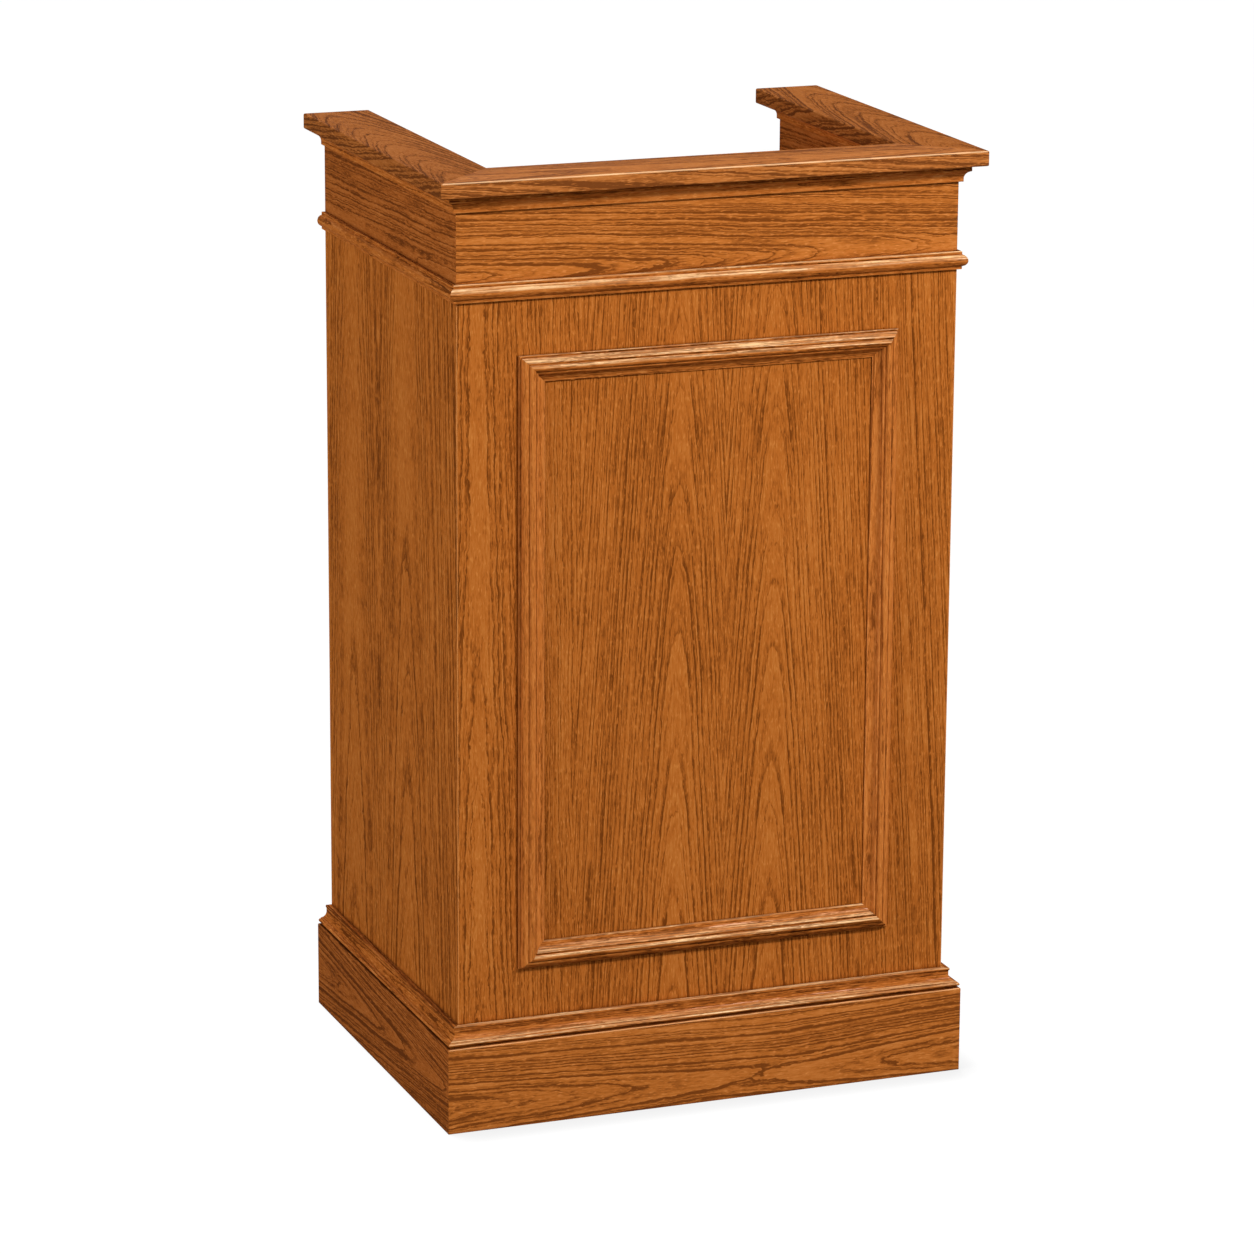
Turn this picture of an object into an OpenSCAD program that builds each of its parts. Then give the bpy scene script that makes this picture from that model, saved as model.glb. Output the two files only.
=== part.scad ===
// A free-standing oak pulpit: three panelled sides with an open back, a mitred
// cap over a crown moulding, a framed front panel and a boarded base.
// Millimetres. The front faces -Y, the open back faces +Y, and the floor is Z 0.

/* [Carcase] */
// Width over the two side panels
carcase_w = 640; // [560:5:900]
// Depth from the face of the front panel to the back edges
carcase_d = 500; // [440:5:700]
// Height from the floor to the top of the cap
total_h = 1168; // [1050:1:1300]
// Thickness of the veneered panels
panel_t = 19; // [17:0.5:22]
// Height of the panels' lower edges above the floor
panel_lift = 3; // [0:0.5:8]
// Thickness of the solid strips that cover plywood edges
edging_t = 6; // [3:0.5:10]

/* [Corner splines] */
// Thickness of the splines in the front corner mitres
spline_t = 4; // [3:0.5:5]
// Width of the splines across the mitre
spline_w = 12; // [8:0.5:13]
// Distance that the splines stay short of the boards' ends
spline_inset = 20; // [10:1:35]

/* [Frieze] */
// Thickness of the frieze boards
frieze_t = 25; // [22:0.5:30]
// Height of the frieze boards, from the panels to the cap
frieze_h = 118; // [105:1:140]

/* [Cap] */
// Thickness of the cap boards
cap_t = 19; // [16:0.5:25]
// Width of the cap boards
cap_w = 86; // [80:1:110]
// Overhang of the cap outside the panels
cap_over = 27; // [22:0.5:32]
// Rounding of the cap's long edges
cap_edge_r = 2; // [1:0.5:5]
// Thickness of the biscuits in the cap mitres
biscuit_t = 4; // [3:0.5:5]
// Length of the biscuits along the mitre
biscuit_l = 56; // [40:1:64]
// Width of the biscuits across the mitre
biscuit_w = 23; // [16:0.5:26]

/* [Crown moulding] */
// Height of the crown moulding under the cap
crown_h = 21; // [18:0.5:26]
// Projection of the crown moulding at the cap
crown_out = 12; // [10:0.5:16]
// Height of its top fillet
crown_top_h = 7.5; // [5:0.5:9]
// Height of its lower fillet
crown_low_h = 4.5; // [3:0.5:6]
// Projection of its lower fillet
crown_low_out = 4.5; // [3:0.5:6]
// Radius of its hollow
crown_cove_r = 10; // [8:0.5:30]

/* [Bead moulding] */
// Height of the bead moulding over the frieze joint
bead_h = 22; // [19:0.5:28]
// Projection of the round of the bead
bead_out = 10.5; // [9:0.5:14]
// Radius of the round of the bead
bead_r = 7.4; // [6:0.1:9]
// Projection of the flat fillets above and below the round
bead_fillet_out = 4.7; // [3:0.1:6]
// Distance that the bead reaches below the frieze joint
bead_drop = 10; // [6:0.5:12]

/* [Front frame] */
// Width of the framing moulding on the front panel
frame_w = 33; // [32:0.5:45]
// Distance from the panel's side edges to the frame
frame_side_margin = 77; // [50:1:150]
// Distance from the bead moulding to the frame
frame_top_margin = 68; // [40:1:150]
// Distance from the base moulding to the frame
frame_low_margin = 63; // [40:1:150]
// Thickness of the frame at its outer fillet
frame_fillet_t = 3.5; // [2:0.5:4]
// Width of the frame's outer fillet
frame_fillet_w = 2.5; // [1.5:0.5:3]
// Thickness of the frame at its quarter round
frame_ovolo_t = 11.5; // [9:0.5:12]
// Radius of the frame's quarter round
frame_ovolo_r = 7; // [5:0.5:7]
// Thickness of the frame at its crest
frame_crest_t = 15; // [12.5:0.5:18]
// Radius of the frame's crest bead
frame_crest_r = 4.2; // [3:0.1:4.4]
// Thickness of the frame at its small bead
frame_small_t = 11; // [9:0.5:12]
// Radius of the frame's small bead
frame_small_r = 2; // [1:0.1:2.2]
// Thickness of the frame at its inner edge, where the hollow runs out
frame_inner_t = 2; // [1.5:0.5:3]

/* [Base] */
// Thickness of the base boards
base_t = 19; // [18:0.5:22]
// Height of the base boards
base_h = 108; // [90:1:150]
// Rounding of the base boards' top edge
base_edge_r = 1.5; // [0.5:0.5:3]
// Height of the moulding on the base boards
base_cap_h = 24; // [22:0.5:28]
// Projection of the lip of the base moulding
base_cap_out = 18; // [17.5:0.5:18.5]
// Height of the shadow groove under the lip
base_groove_h = 2.4; // [1:0.1:3]
// Depth of the shadow groove under the lip
base_groove_in = 3.5; // [1:0.5:5]
// Height of the rounded lip
base_lip_h = 4.2; // [3:0.1:5]
// Rise from the lip to the hollow
base_step_h = 1.2; // [0.5:0.1:2]
// Radius of the hollow of the base moulding
base_cove_r = 8; // [6:0.5:8.5]
// Thickness of the base moulding above the hollow
base_neck_out = 7.2; // [6:0.1:8]
// Height of the top fillet of the base moulding
base_fillet_h = 3; // [2:0.5:4]
// Projection of the top fillet of the base moulding
base_fillet_out = 8.2; // [8.1:0.1:10]
// Side of the square glue blocks in the base corners
block_w = 28; // [20:1:35]

/* [Shelves] */
// Thickness of the shelves and the toe board
shelf_t = 19; // [16:0.5:22]
// Height of the top of the bottom shelf
bottom_shelf_z = 110; // [95:1:160]
// Height of the top of the middle shelf
middle_shelf_z = 600; // [350:5:750]
// Distance of the bottom shelf's edge from the back
bottom_setback = 15; // [5:1:60]
// Distance of the middle shelf's edge from the back
middle_setback = 60; // [5:1:150]
// Distance of the toe board's face from the back
toe_setback = 45; // [30:1:90]
// Depth of the housings for the shelves in the side panels
housing_d = 6; // [4:0.5:8]

/* [Book desk] */
// Thickness of the desk board
desk_t = 19; // [16:0.5:22]
// Slope of the desk board in degrees
desk_angle = 12; // [8:0.5:15]
// Depth of the desk's upper edge below the top of the cap
desk_drop = 88; // [75:1:92]
// Room over the shoulders of the desk board's notches, under the frieze boards
notch_room = 3; // [2.5:0.5:8]
// Distance of the book stop from the back edges
desk_setback = 12; // [5:1:30]
// Thickness of the book stop
stop_t = 12; // [8:0.5:18]
// Height of the book stop above the desk board
stop_rise = 14; // [8:0.5:25]
// Rounding of the book stop's top edges
stop_edge_r = 3; // [1:0.5:3.5]
// Thickness of the cleats under the desk board
cleat_t = 22; // [18:0.5:28]
// Height of the side cleats
cleat_h = 38; // [30:1:44]
// Thickness of the rail under the desk's rear edge
rail_t = 19; // [18:0.5:25]
// Height of the rail under the desk's rear edge
rail_h = 62; // [54:1:90]

/* [Fixings] */
// Diameter of the dowels
dowel_d = 8; // [6:0.5:9]
// Length of the dowels
dowel_l = 30; // [26:1:34]
// Depth of the dowels in the frieze boards and the cap
dowel_high = 11; // [9:0.5:12]
// Diameter of the screws
screw_d = 4; // [3:0.5:5]
// Diameter of the screw heads
screw_head_d = 8; // [7:0.5:9]
// Length of the screws
screw_l = 32; // [28:1:34]
// Diameter of the moulding pins
pin_d = 1.2; // [1:0.1:1.8]
// Length of the moulding pins
pin_l = 18; // [15:0.5:19]
// Depth of the pins' heads under the moulding's surface
pin_sink = 1; // [0.5:0.1:1.5]
// Distance of the first fixing from a board's end
fixing_margin = 60; // [50:1:75]
// Clearance round dowels, splines, screws and pins
clearance = 0.1; // [0.05:0.01:0.2]

/* [Hidden] */
$fn = 48;

// Finishes: stained oak on show, paler wood inside the joints, steel fixings
oak = [0.70, 0.37, 0.14];
oak_light = [0.78, 0.44, 0.18];
raw_wood = [0.80, 0.66, 0.45];
steel = [0.62, 0.62, 0.64];

// The cap reaches furthest forward, so it sets the middle of the depth
front_y = (cap_over - carcase_d) / 2;
back_y = front_y + carcase_d;
side_x = carcase_w / 2;
cap_z = total_h - cap_t;
joint_z = cap_z - frieze_h;
bead_z = joint_z - bead_drop;
crown_z = cap_z - crown_h;
base_cap_z = base_h;
base_cap_top = base_cap_z + base_cap_h;

// Plan reach of the mitres to either side of the panels' faces
mitre_reach = 120;

// Distance that a cutting shape reaches past what it cuts
overcut = 1;

// Frame on the front panel, with fine grooves between the members of its section
frame_groove = 0.6;
frame_outer_w = carcase_w - 2 * frame_side_margin;
frame_z = base_cap_top + frame_low_margin;
frame_outer_h = bead_z - frame_top_margin - frame_z;

// Spline position along the mitre from the inside corner, with wood left beside its groove
spline_skin = 2;
spline_at = spline_w / 2 + spline_t / 2 + spline_skin;

// Crown hollow: the centre lies below and outside the chord between the fillets
crown_chord = [crown_out - crown_low_out, crown_h - crown_top_h - crown_low_h];
crown_chord_l = norm(crown_chord);
crown_reach = sqrt(pow(crown_cove_r, 2) - pow(crown_chord_l / 2, 2)) / crown_chord_l;
crown_centre = [
    crown_low_out + crown_chord[0] / 2 + crown_chord[1] * crown_reach,
    crown_low_h + crown_chord[1] / 2 - crown_chord[0] * crown_reach
];

// Stations along the widths and depths, for dowels and what goes between them
front_dowels = spread(-side_x + fixing_margin, side_x - fixing_margin, 5);
side_dowels = spread(front_y + fixing_margin, back_y - fixing_margin, 4);
front_between = between(front_dowels);
side_between = between(side_dowels);
frame_pins_x = spread(-1, 1, 3) * (frame_outer_w / 2 - fixing_margin);
frame_pins_z = spread(-1, 1, 4) * (frame_outer_h / 2 - fixing_margin);

// Heights of the fixings
bead_pin_h = (bead_drop + bead_h) / 2;
bead_pin_z = bead_z + bead_pin_h;
crown_pin_h = crown_h / 2;
crown_pin_z = crown_z + crown_pin_h;
base_pin_z = base_cap_top - base_fillet_h - pin_d;
base_screw_z = (panel_lift + bottom_shelf_z - shelf_t) / 2;
frame_pin_w = frame_fillet_w + frame_ovolo_r / 2;

// Thickness of each moulding where its pins go in
crown_at_pin = crown_centre[0] - sqrt(pow(crown_cove_r, 2) - pow(crown_pin_h - crown_centre[1], 2));
bead_at_pin = bead_out - bead_r + sqrt(pow(bead_r, 2) - pow(bead_pin_h - bead_h / 2, 2));
frame_at_pin = frame_ovolo_t - frame_ovolo_r + sqrt(pow(frame_ovolo_r, 2) - pow(frame_ovolo_r / 2, 2));

// Desk board in side view: the upper front corner, then down the slope
desk_y = front_y + frieze_t;
desk_z = total_h - desk_drop;
desk_dir = [cos(desk_angle), -sin(desk_angle)];
desk_down = [-sin(desk_angle), -cos(desk_angle)];
desk_rear_y = back_y - desk_setback - stop_t * desk_dir[0] - stop_rise * sin(desk_angle);
desk_l = (desk_rear_y - desk_y) / desk_dir[0];
desk_rear = [desk_y, desk_z] + desk_l * desk_dir;
desk_under = desk_t / cos(desk_angle);
rail_back_y = desk_rear[0] + desk_t * desk_down[0];
rail_front_y = rail_back_y - rail_t;
cleat_front_y = desk_y + cleat_t;
rail_dowel_x = dowel_l / 2 - dowel_high;

// Radius of the biscuits' long edges
biscuit_r = (pow(biscuit_l / 2, 2) + pow(biscuit_w / 2, 2)) / biscuit_w;

function spread(from, to, count) = [for (i = [0:count - 1]) from + (to - from) * i / (count - 1)];
function between(list) = [for (i = [0:len(list) - 2]) (list[i] + list[i + 1]) / 2];
function under_desk(y) = desk_z - desk_under - (y - desk_y) * tan(desk_angle);

// Plan of one side's share of the three-sided runs, cut at the corner mitres
module side_plan(side) {
    reach = mitre_reach;
    if (side == "front") {
        polygon([
            [-side_x - reach, front_y - reach], [side_x + reach, front_y - reach],
            [side_x - reach, front_y + reach], [-side_x + reach, front_y + reach]
        ]);
    } else {
        sign = side == "left" ? -1 : 1;
        polygon([
            [sign * (side_x + reach), front_y - reach], [sign * (side_x - reach), front_y + reach],
            [sign * (side_x - reach), back_y], [sign * (side_x + reach), back_y]
        ]);
    }
}

// A run along one side, from a section drawn as (distance out of the panel's face, height)
module run(side, back_gap = 0) {
    length = side == "front" ? carcase_w + 2 * mitre_reach : carcase_d + mitre_reach - back_gap;
    intersection() {
        if (side == "front")
            translate([side_x + mitre_reach, front_y, 0])
                rotate([90, 0, -90]) linear_extrude(length) children();
        if (side == "left")
            translate([-side_x, front_y - mitre_reach, 0])
                rotate([90, 0, 180]) linear_extrude(length) children();
        if (side == "right")
            translate([side_x, back_y - back_gap, 0])
                rotate([90, 0, 0]) linear_extrude(length) children();
        translate([0, 0, -overcut]) linear_extrude(total_h + 2 * overcut) side_plan(side);
    }
}

// Puts children on the outer face of a side, with their Z pointing out of it
module on_face(side, along, z) {
    if (side == "front") translate([along, front_y, z]) rotate([90, 0, 0]) children();
    if (side == "left") translate([-side_x, along, z]) rotate([0, -90, 0]) children();
    if (side == "right") translate([side_x, along, z]) rotate([0, 90, 0]) children();
}

// Puts children at each station of a side
module at_stations(side, front_list, side_list, z) {
    for (along = side == "front" ? front_list : side_list) on_face(side, along, z) children();
}

// Rectangular section with its four long edges rounded
module eased_section(out_from, out_to, z_from, z_to, edge_r) {
    translate([out_from + edge_r, z_from]) square([out_to - out_from - 2 * edge_r, z_to - z_from]);
    translate([out_from, z_from + edge_r]) square([out_to - out_from, z_to - z_from - 2 * edge_r]);
    for (x = [out_from + edge_r, out_to - edge_r])
        for (z = [z_from + edge_r, z_to - edge_r])
            translate([x, z]) circle(edge_r);
}

// Section of the crown moulding, from the face it is fixed to and its lower edge
module crown_section() {
    difference() {
        polygon([
            [0, 0], [crown_low_out, 0], [crown_low_out, crown_low_h],
            [crown_out, crown_h - crown_top_h], [crown_out, crown_h], [0, crown_h]
        ]);
        intersection() {
            translate(crown_centre) circle(crown_cove_r, $fn = 96);
            translate([0, crown_low_h]) square([crown_out, crown_h]);
        }
    }
}

// Section of the bead moulding, from the panel's face and its lower edge
module bead_section() {
    square([bead_fillet_out, bead_h]);
    intersection() {
        translate([bead_out - bead_r, bead_h / 2]) circle(bead_r);
        square([bead_out, bead_h]);
    }
}

// Section of the base moulding, from the panel's face and the base board's top
module base_moulding_section() {
    lip_z = base_groove_h + base_lip_h;
    cove_z = lip_z + base_step_h;
    square([base_cap_out - base_groove_in, base_groove_h + base_lip_h / 2]);
    translate([0, base_groove_h]) square([base_cap_out - base_lip_h / 2, base_lip_h]);
    translate([base_cap_out - base_lip_h / 2, base_groove_h + base_lip_h / 2]) circle(base_lip_h / 2);
    square([base_neck_out, base_cap_h]);
    translate([0, base_cap_h - base_fillet_h]) square([base_fillet_out, base_fillet_h]);
    difference() {
        translate([0, lip_z - base_lip_h / 2])
            square([base_neck_out + base_cove_r, base_lip_h / 2 + base_step_h + base_cove_r]);
        translate([base_neck_out + base_cove_r, cove_z + base_cove_r]) circle(base_cove_r);
    }
}

// Section of the frame moulding, from its outer edge and the panel's face
module frame_section() {
    ovolo_x = frame_fillet_w + frame_ovolo_r;
    crest_x = ovolo_x + frame_crest_r + frame_groove;
    small_x = crest_x + frame_crest_r + frame_small_r - frame_groove;
    cove_x = small_x + frame_small_r - frame_groove / 2;
    cove_w = frame_w - cove_x;
    cove_h = frame_small_t - frame_small_r - frame_inner_t;
    cove_r = (pow(cove_w, 2) + pow(cove_h, 2)) / (2 * cove_h);
    square([crest_x, frame_fillet_t]);
    translate([frame_fillet_w, 0]) square([crest_x - frame_fillet_w, frame_ovolo_t - frame_ovolo_r]);
    translate([ovolo_x, 0]) square([crest_x - ovolo_x, frame_ovolo_t - frame_groove]);
    translate([ovolo_x, frame_ovolo_t - frame_ovolo_r]) circle(frame_ovolo_r);
    translate([crest_x - frame_crest_r, 0]) square([2 * frame_crest_r, frame_crest_t - frame_crest_r]);
    translate([crest_x, frame_crest_t - frame_crest_r]) circle(frame_crest_r);
    translate([crest_x, 0]) square([cove_x - crest_x, frame_small_t - frame_small_r]);
    translate([small_x, frame_small_t - frame_small_r]) circle(frame_small_r);
    difference() {
        translate([crest_x, 0]) square([frame_w - crest_x, frame_inner_t + cove_h]);
        translate([frame_w, frame_inner_t + cove_r]) circle(cove_r);
    }
}

// A wood screw: its head at Z 0, its point downwards, with room round it for a hole
module wood_screw(room = 0) {
    cone_h = (screw_head_d - screw_d) / 2;
    translate([0, 0, -cone_h])
        cylinder(h = cone_h, d1 = screw_d + 2 * room, d2 = screw_head_d + 2 * room);
    translate([0, 0, -screw_l - room]) cylinder(h = screw_l - cone_h + room, d = screw_d + 2 * room);
}

// A moulding pin, punched under a surface that lies this far out of the face
module pin(surface_out, room = 0) {
    translate([0, 0, surface_out - pin_sink - pin_l]) cylinder(h = pin_l, d = pin_d + 2 * room);
}

// A dowel standing on Z 0 at its lower end
module dowel(room = 0) {
    translate([0, 0, -room]) cylinder(h = dowel_l + 2 * room, d = dowel_d + 2 * room);
}

module frieze_dowels_at(side, room = 0) {
    for (along = side == "front" ? front_dowels : side_dowels)
        on_face(side, along, joint_z - dowel_l + dowel_high)
            translate([0, 0, -panel_t / 2]) stand_up(side) dowel(room);
}

module cap_dowels_at(side, room = 0) {
    for (along = side == "front" ? front_dowels : side_dowels)
        on_face(side, along, cap_z - dowel_l + dowel_high)
            translate([0, 0, -frieze_t / 2]) stand_up(side) dowel(room);
}

// Turns a child's Z from out of a face to straight up
module stand_up(side) {
    if (side == "front") rotate([-90, 0, 0]) children();
    if (side == "left") rotate([0, 90, 0]) children();
    if (side == "right") rotate([0, -90, 0]) children();
}

// Spline across a front corner mitre, on the left or the right
module corner_spline(sign, z_from, z_to, board_t, room = 0) {
    translate([sign * (side_x - board_t), front_y + board_t, z_from - room])
        rotate([0, 0, sign < 0 ? -135 : -45])
            translate([spline_at - spline_t / 2 - room, -spline_w / 2 - room, 0])
                cube([spline_t + 2 * room, spline_w + 2 * room, z_to - z_from + 2 * room]);
}

module panel_spline(sign, room = 0) {
    corner_spline(sign, panel_lift + spline_inset, joint_z - spline_inset, panel_t, room);
}

module frieze_spline(sign, room = 0) {
    corner_spline(sign, joint_z + spline_inset, cap_z - spline_inset, frieze_t, room);
}

// Biscuit across a cap mitre, on the left or the right
module cap_biscuit(sign, room = 0) {
    mid_out = cap_over - cap_w / 2;
    translate([sign * (side_x + mid_out), front_y - mid_out, cap_z + cap_t / 2])
        rotate([0, 0, sign < 0 ? 45 : -45])
            intersection_for(across = [-1, 1])
                translate([0, across * (biscuit_r - biscuit_w / 2), -biscuit_t / 2 - room])
                    cylinder(h = biscuit_t + 2 * room, r = biscuit_r + room, $fn = 96);
}

// The pins of each moulding, on one side
module crown_pins(side, room = 0) {
    at_stations(side, front_between, side_between, crown_pin_z) pin(crown_at_pin, room);
}

module inner_crown_pins(side, room = 0) {
    at_stations(side, front_between, side_between, crown_pin_z)
        translate([0, 0, -frieze_t]) rotate([180, 0, 0]) pin(crown_at_pin, room);
}

module bead_pins(side, room = 0) {
    at_stations(side, front_between, side_between, bead_pin_z) pin(bead_at_pin, room);
}

module base_pins(side, room = 0) {
    at_stations(side, front_between, side_between, base_pin_z) pin(base_neck_out, room);
}

module frame_pins(room = 0) {
    mid_z = frame_z + frame_outer_h / 2;
    for (x = frame_pins_x)
        for (z = [frame_z + frame_pin_w, frame_z + frame_outer_h - frame_pin_w])
            on_face("front", x, z) pin(frame_at_pin, room);
    for (z = frame_pins_z)
        for (x = [-frame_outer_w / 2 + frame_pin_w, frame_outer_w / 2 - frame_pin_w])
            on_face("front", x, mid_z + z) pin(frame_at_pin, room);
}

// Screws that hold the base boards, driven from inside the panels
module base_screws_at(side, room = 0) {
    at_stations(side, front_between, side_between, base_screw_z)
        translate([0, 0, -panel_t]) rotate([180, 0, 0]) wood_screw(room);
}

// Screws of a side cleat, square to the side panel and halfway up the cleat
module side_cleat_screws(side, room = 0) {
    for (y = side_between)
        on_face(side, y, under_desk(y) - cleat_h / 2)
            translate([0, 0, -panel_t - cleat_t]) rotate([180, 0, 0]) wood_screw(room);
}

module front_cleat_screws(room = 0) {
    for (x = front_between)
        on_face("front", x, (joint_z + under_desk(cleat_front_y)) / 2)
            translate([0, 0, -frieze_t - cleat_t]) rotate([180, 0, 0]) wood_screw(room);
}

// Dowels between the desk rail's ends and a side panel
module rail_dowels_at(side, room = 0) {
    top_z = under_desk(rail_back_y);
    for (z = [top_z - rail_h / 4, top_z - rail_h * 3 / 4])
        on_face(side, (rail_front_y + rail_back_y) / 2, z)
            translate([0, 0, -panel_t - dowel_l + dowel_high]) dowel(room);
}

// A shelf's board between its housings, from the front panel to its edging
module shelf_board(top_z, setback) {
    half = side_x - panel_t + housing_d;
    y_from = front_y + panel_t;
    translate([-half, y_from, top_z - shelf_t])
        cube([2 * half, back_y - setback - edging_t - y_from, shelf_t]);
}

module shelf_edging(top_z, setback) {
    half = side_x - panel_t;
    translate([-half, back_y - setback - edging_t, top_z - shelf_t]) cube([2 * half, edging_t, shelf_t]);
}

// Panel of one side with its joints cut
module side_panel(side) {
    color(oak) difference() {
        run(side, edging_t) translate([-panel_t, panel_lift]) square([panel_t, joint_z - panel_lift]);
        shelf_board(bottom_shelf_z, bottom_setback);
        shelf_board(middle_shelf_z, middle_setback);
        panel_spline(side == "left" ? -1 : 1, clearance);
        frieze_dowels_at(side, clearance);
        base_screws_at(side, clearance);
        base_pins(side, clearance);
        bead_pins(side, clearance);
        side_cleat_screws(side, clearance);
        rail_dowels_at(side, clearance);
    }
}

module back_edging(sign) {
    color(oak) translate([sign < 0 ? -side_x : side_x - panel_t, back_y - edging_t, panel_lift])
        cube([panel_t, edging_t, joint_z - panel_lift]);
}

module frieze_board(side) {
    color(oak_light) difference() {
        run(side) translate([-frieze_t, joint_z]) square([frieze_t, frieze_h]);
        if (side != "right") frieze_spline(-1, clearance);
        if (side != "left") frieze_spline(1, clearance);
        frieze_dowels_at(side, clearance);
        cap_dowels_at(side, clearance);
        crown_pins(side, clearance);
        inner_crown_pins(side, clearance);
        bead_pins(side, clearance);
        if (side == "front") front_cleat_screws(clearance);
    }
}

module cap_board(side) {
    color(oak_light) difference() {
        run(side) eased_section(cap_over - cap_w, cap_over, cap_z, total_h, cap_edge_r);
        if (side != "right") cap_biscuit(-1, clearance);
        if (side != "left") cap_biscuit(1, clearance);
        cap_dowels_at(side, clearance);
    }
}

module crown_moulding(side) {
    color(oak) difference() {
        run(side) translate([0, crown_z]) crown_section();
        crown_pins(side, clearance);
    }
}

module inner_crown(side) {
    color(oak) difference() {
        run(side) translate([-frieze_t, crown_z]) mirror([1, 0]) crown_section();
        inner_crown_pins(side, clearance);
    }
}

module bead_moulding(side) {
    color(oak_light) difference() {
        run(side) translate([0, bead_z]) bead_section();
        bead_pins(side, clearance);
    }
}

// One side of the mitred frame, lying along X from its outer corner at the origin
module frame_piece(length) {
    intersection() {
        rotate([90, 0, 90]) linear_extrude(length) rotate(90) frame_section();
        rotate([90, 0, 0]) linear_extrude(frame_crest_t + overcut)
            polygon([[0, 0], [length, 0], [length - frame_w, frame_w], [frame_w, frame_w]]);
    }
}

// A frame side turned about the frame's middle: 0 below, 90 left, 180 above, -90 right
module frame_side(turn) {
    upright = turn == 90 || turn == -90;
    length = upright ? frame_outer_h : frame_outer_w;
    away = upright ? frame_outer_w : frame_outer_h;
    color(oak_light) difference() {
        translate([0, front_y, frame_z + frame_outer_h / 2]) rotate([0, turn, 0])
            translate([-length / 2, 0, -away / 2]) frame_piece(length);
        frame_pins(clearance);
    }
}

module base_board(side) {
    color(oak) difference() {
        run(side) {
            square([base_t, base_h - base_edge_r]);
            square([base_t - base_edge_r, base_h]);
            translate([base_t - base_edge_r, base_h - base_edge_r]) circle(base_edge_r);
        }
        base_screws_at(side, clearance);
    }
}

module base_moulding(side) {
    color(oak_light) difference() {
        run(side) translate([0, base_cap_z]) base_moulding_section();
        base_pins(side, clearance);
    }
}

// Side cleat under the desk board, scribed over the thicker frieze board
module desk_cleat(side) {
    sign = side == "left" ? -1 : 1;
    color(raw_wood) difference() {
        translate([sign < 0 ? -side_x + panel_t : side_x - panel_t - cleat_t, 0, 0])
            rotate([90, 0, 90]) linear_extrude(cleat_t) polygon([
                [cleat_front_y, under_desk(cleat_front_y)], [rail_front_y, under_desk(rail_front_y)],
                [rail_front_y, under_desk(rail_front_y) - cleat_h],
                [cleat_front_y, under_desk(cleat_front_y) - cleat_h]
            ]);
        frieze_room(sign);
        side_cleat_screws(side, clearance);
    }
}

// The space that a side frieze board takes up inside the panels, with room below it
module frieze_room(sign, room = 0) {
    translate([sign < 0 ? -side_x : side_x - frieze_t, front_y, joint_z - room])
        cube([frieze_t, carcase_d, frieze_h + room]);
}

module front_panel() {
    color(oak) difference() {
        run("front") translate([-panel_t, panel_lift]) square([panel_t, joint_z - panel_lift]);
        panel_spline(-1, clearance);
        panel_spline(1, clearance);
        frieze_dowels_at("front", clearance);
        base_screws_at("front", clearance);
        base_pins("front", clearance);
        bead_pins("front", clearance);
        frame_pins(clearance);
    }
}

module frieze_splines() {
    color(raw_wood) for (sign = [-1, 1]) frieze_spline(sign);
}

module frieze_dowels() {
    color(raw_wood) for (side = ["front", "left", "right"]) frieze_dowels_at(side);
}

module cap_biscuits() {
    color(raw_wood) for (sign = [-1, 1]) cap_biscuit(sign);
}

module cap_dowels() {
    color(raw_wood) for (side = ["front", "left", "right"]) cap_dowels_at(side);
}

module base_screws() {
    color(steel) for (side = ["front", "left", "right"]) base_screws_at(side);
}

// Blocks in the two front corners and behind the toe board's ends
module base_glue_blocks() {
    inside_x = side_x - panel_t;
    block_h = bottom_shelf_z - shelf_t - panel_lift;
    color(raw_wood) for (x = [-inside_x, inside_x - block_w])
        for (y = [front_y + panel_t, back_y - toe_setback - shelf_t - block_w])
            translate([x, y, panel_lift]) cube([block_w, block_w, block_h]);
}

module moulding_pins() {
    color(steel) {
        for (side = ["front", "left", "right"]) {
            crown_pins(side);
            inner_crown_pins(side);
            bead_pins(side);
            base_pins(side);
        }
        frame_pins();
    }
}

module toe_board() {
    inside_w = carcase_w - 2 * panel_t;
    color(oak) translate([-inside_w / 2, back_y - toe_setback - shelf_t, panel_lift])
        cube([inside_w, shelf_t, bottom_shelf_z - shelf_t - panel_lift]);
}

// Sloping board, notched at its sides where it passes between the frieze boards
module desk_board() {
    inside_w = carcase_w - 2 * panel_t;
    rear_low = desk_rear + desk_t * desk_down;
    color(oak) difference() {
        translate([-inside_w / 2, 0, 0]) rotate([90, 0, 90]) linear_extrude(inside_w)
            polygon([[desk_y, desk_z], desk_rear, rear_low, [desk_y, desk_z - desk_under]]);
        frieze_room(-1, notch_room);
        frieze_room(1, notch_room);
    }
}

module book_stop() {
    inside_w = carcase_w - 2 * panel_t;
    color(oak_light) translate([-inside_w / 2, 0, 0]) rotate([90, 0, 90]) linear_extrude(inside_w)
        translate(desk_rear) rotate(-desk_angle)
            eased_section(0, stop_t, -desk_t, stop_rise, stop_edge_r);
}

module front_desk_cleat() {
    inside_w = carcase_w - 2 * frieze_t;
    color(raw_wood) difference() {
        translate([-inside_w / 2, 0, 0]) rotate([90, 0, 90]) linear_extrude(inside_w) polygon([
            [desk_y, joint_z], [cleat_front_y, joint_z],
            [cleat_front_y, under_desk(cleat_front_y)], [desk_y, under_desk(desk_y)]
        ]);
        front_cleat_screws(clearance);
    }
}

module cleat_screws() {
    color(steel) {
        side_cleat_screws("left");
        side_cleat_screws("right");
        front_cleat_screws();
    }
}

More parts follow.
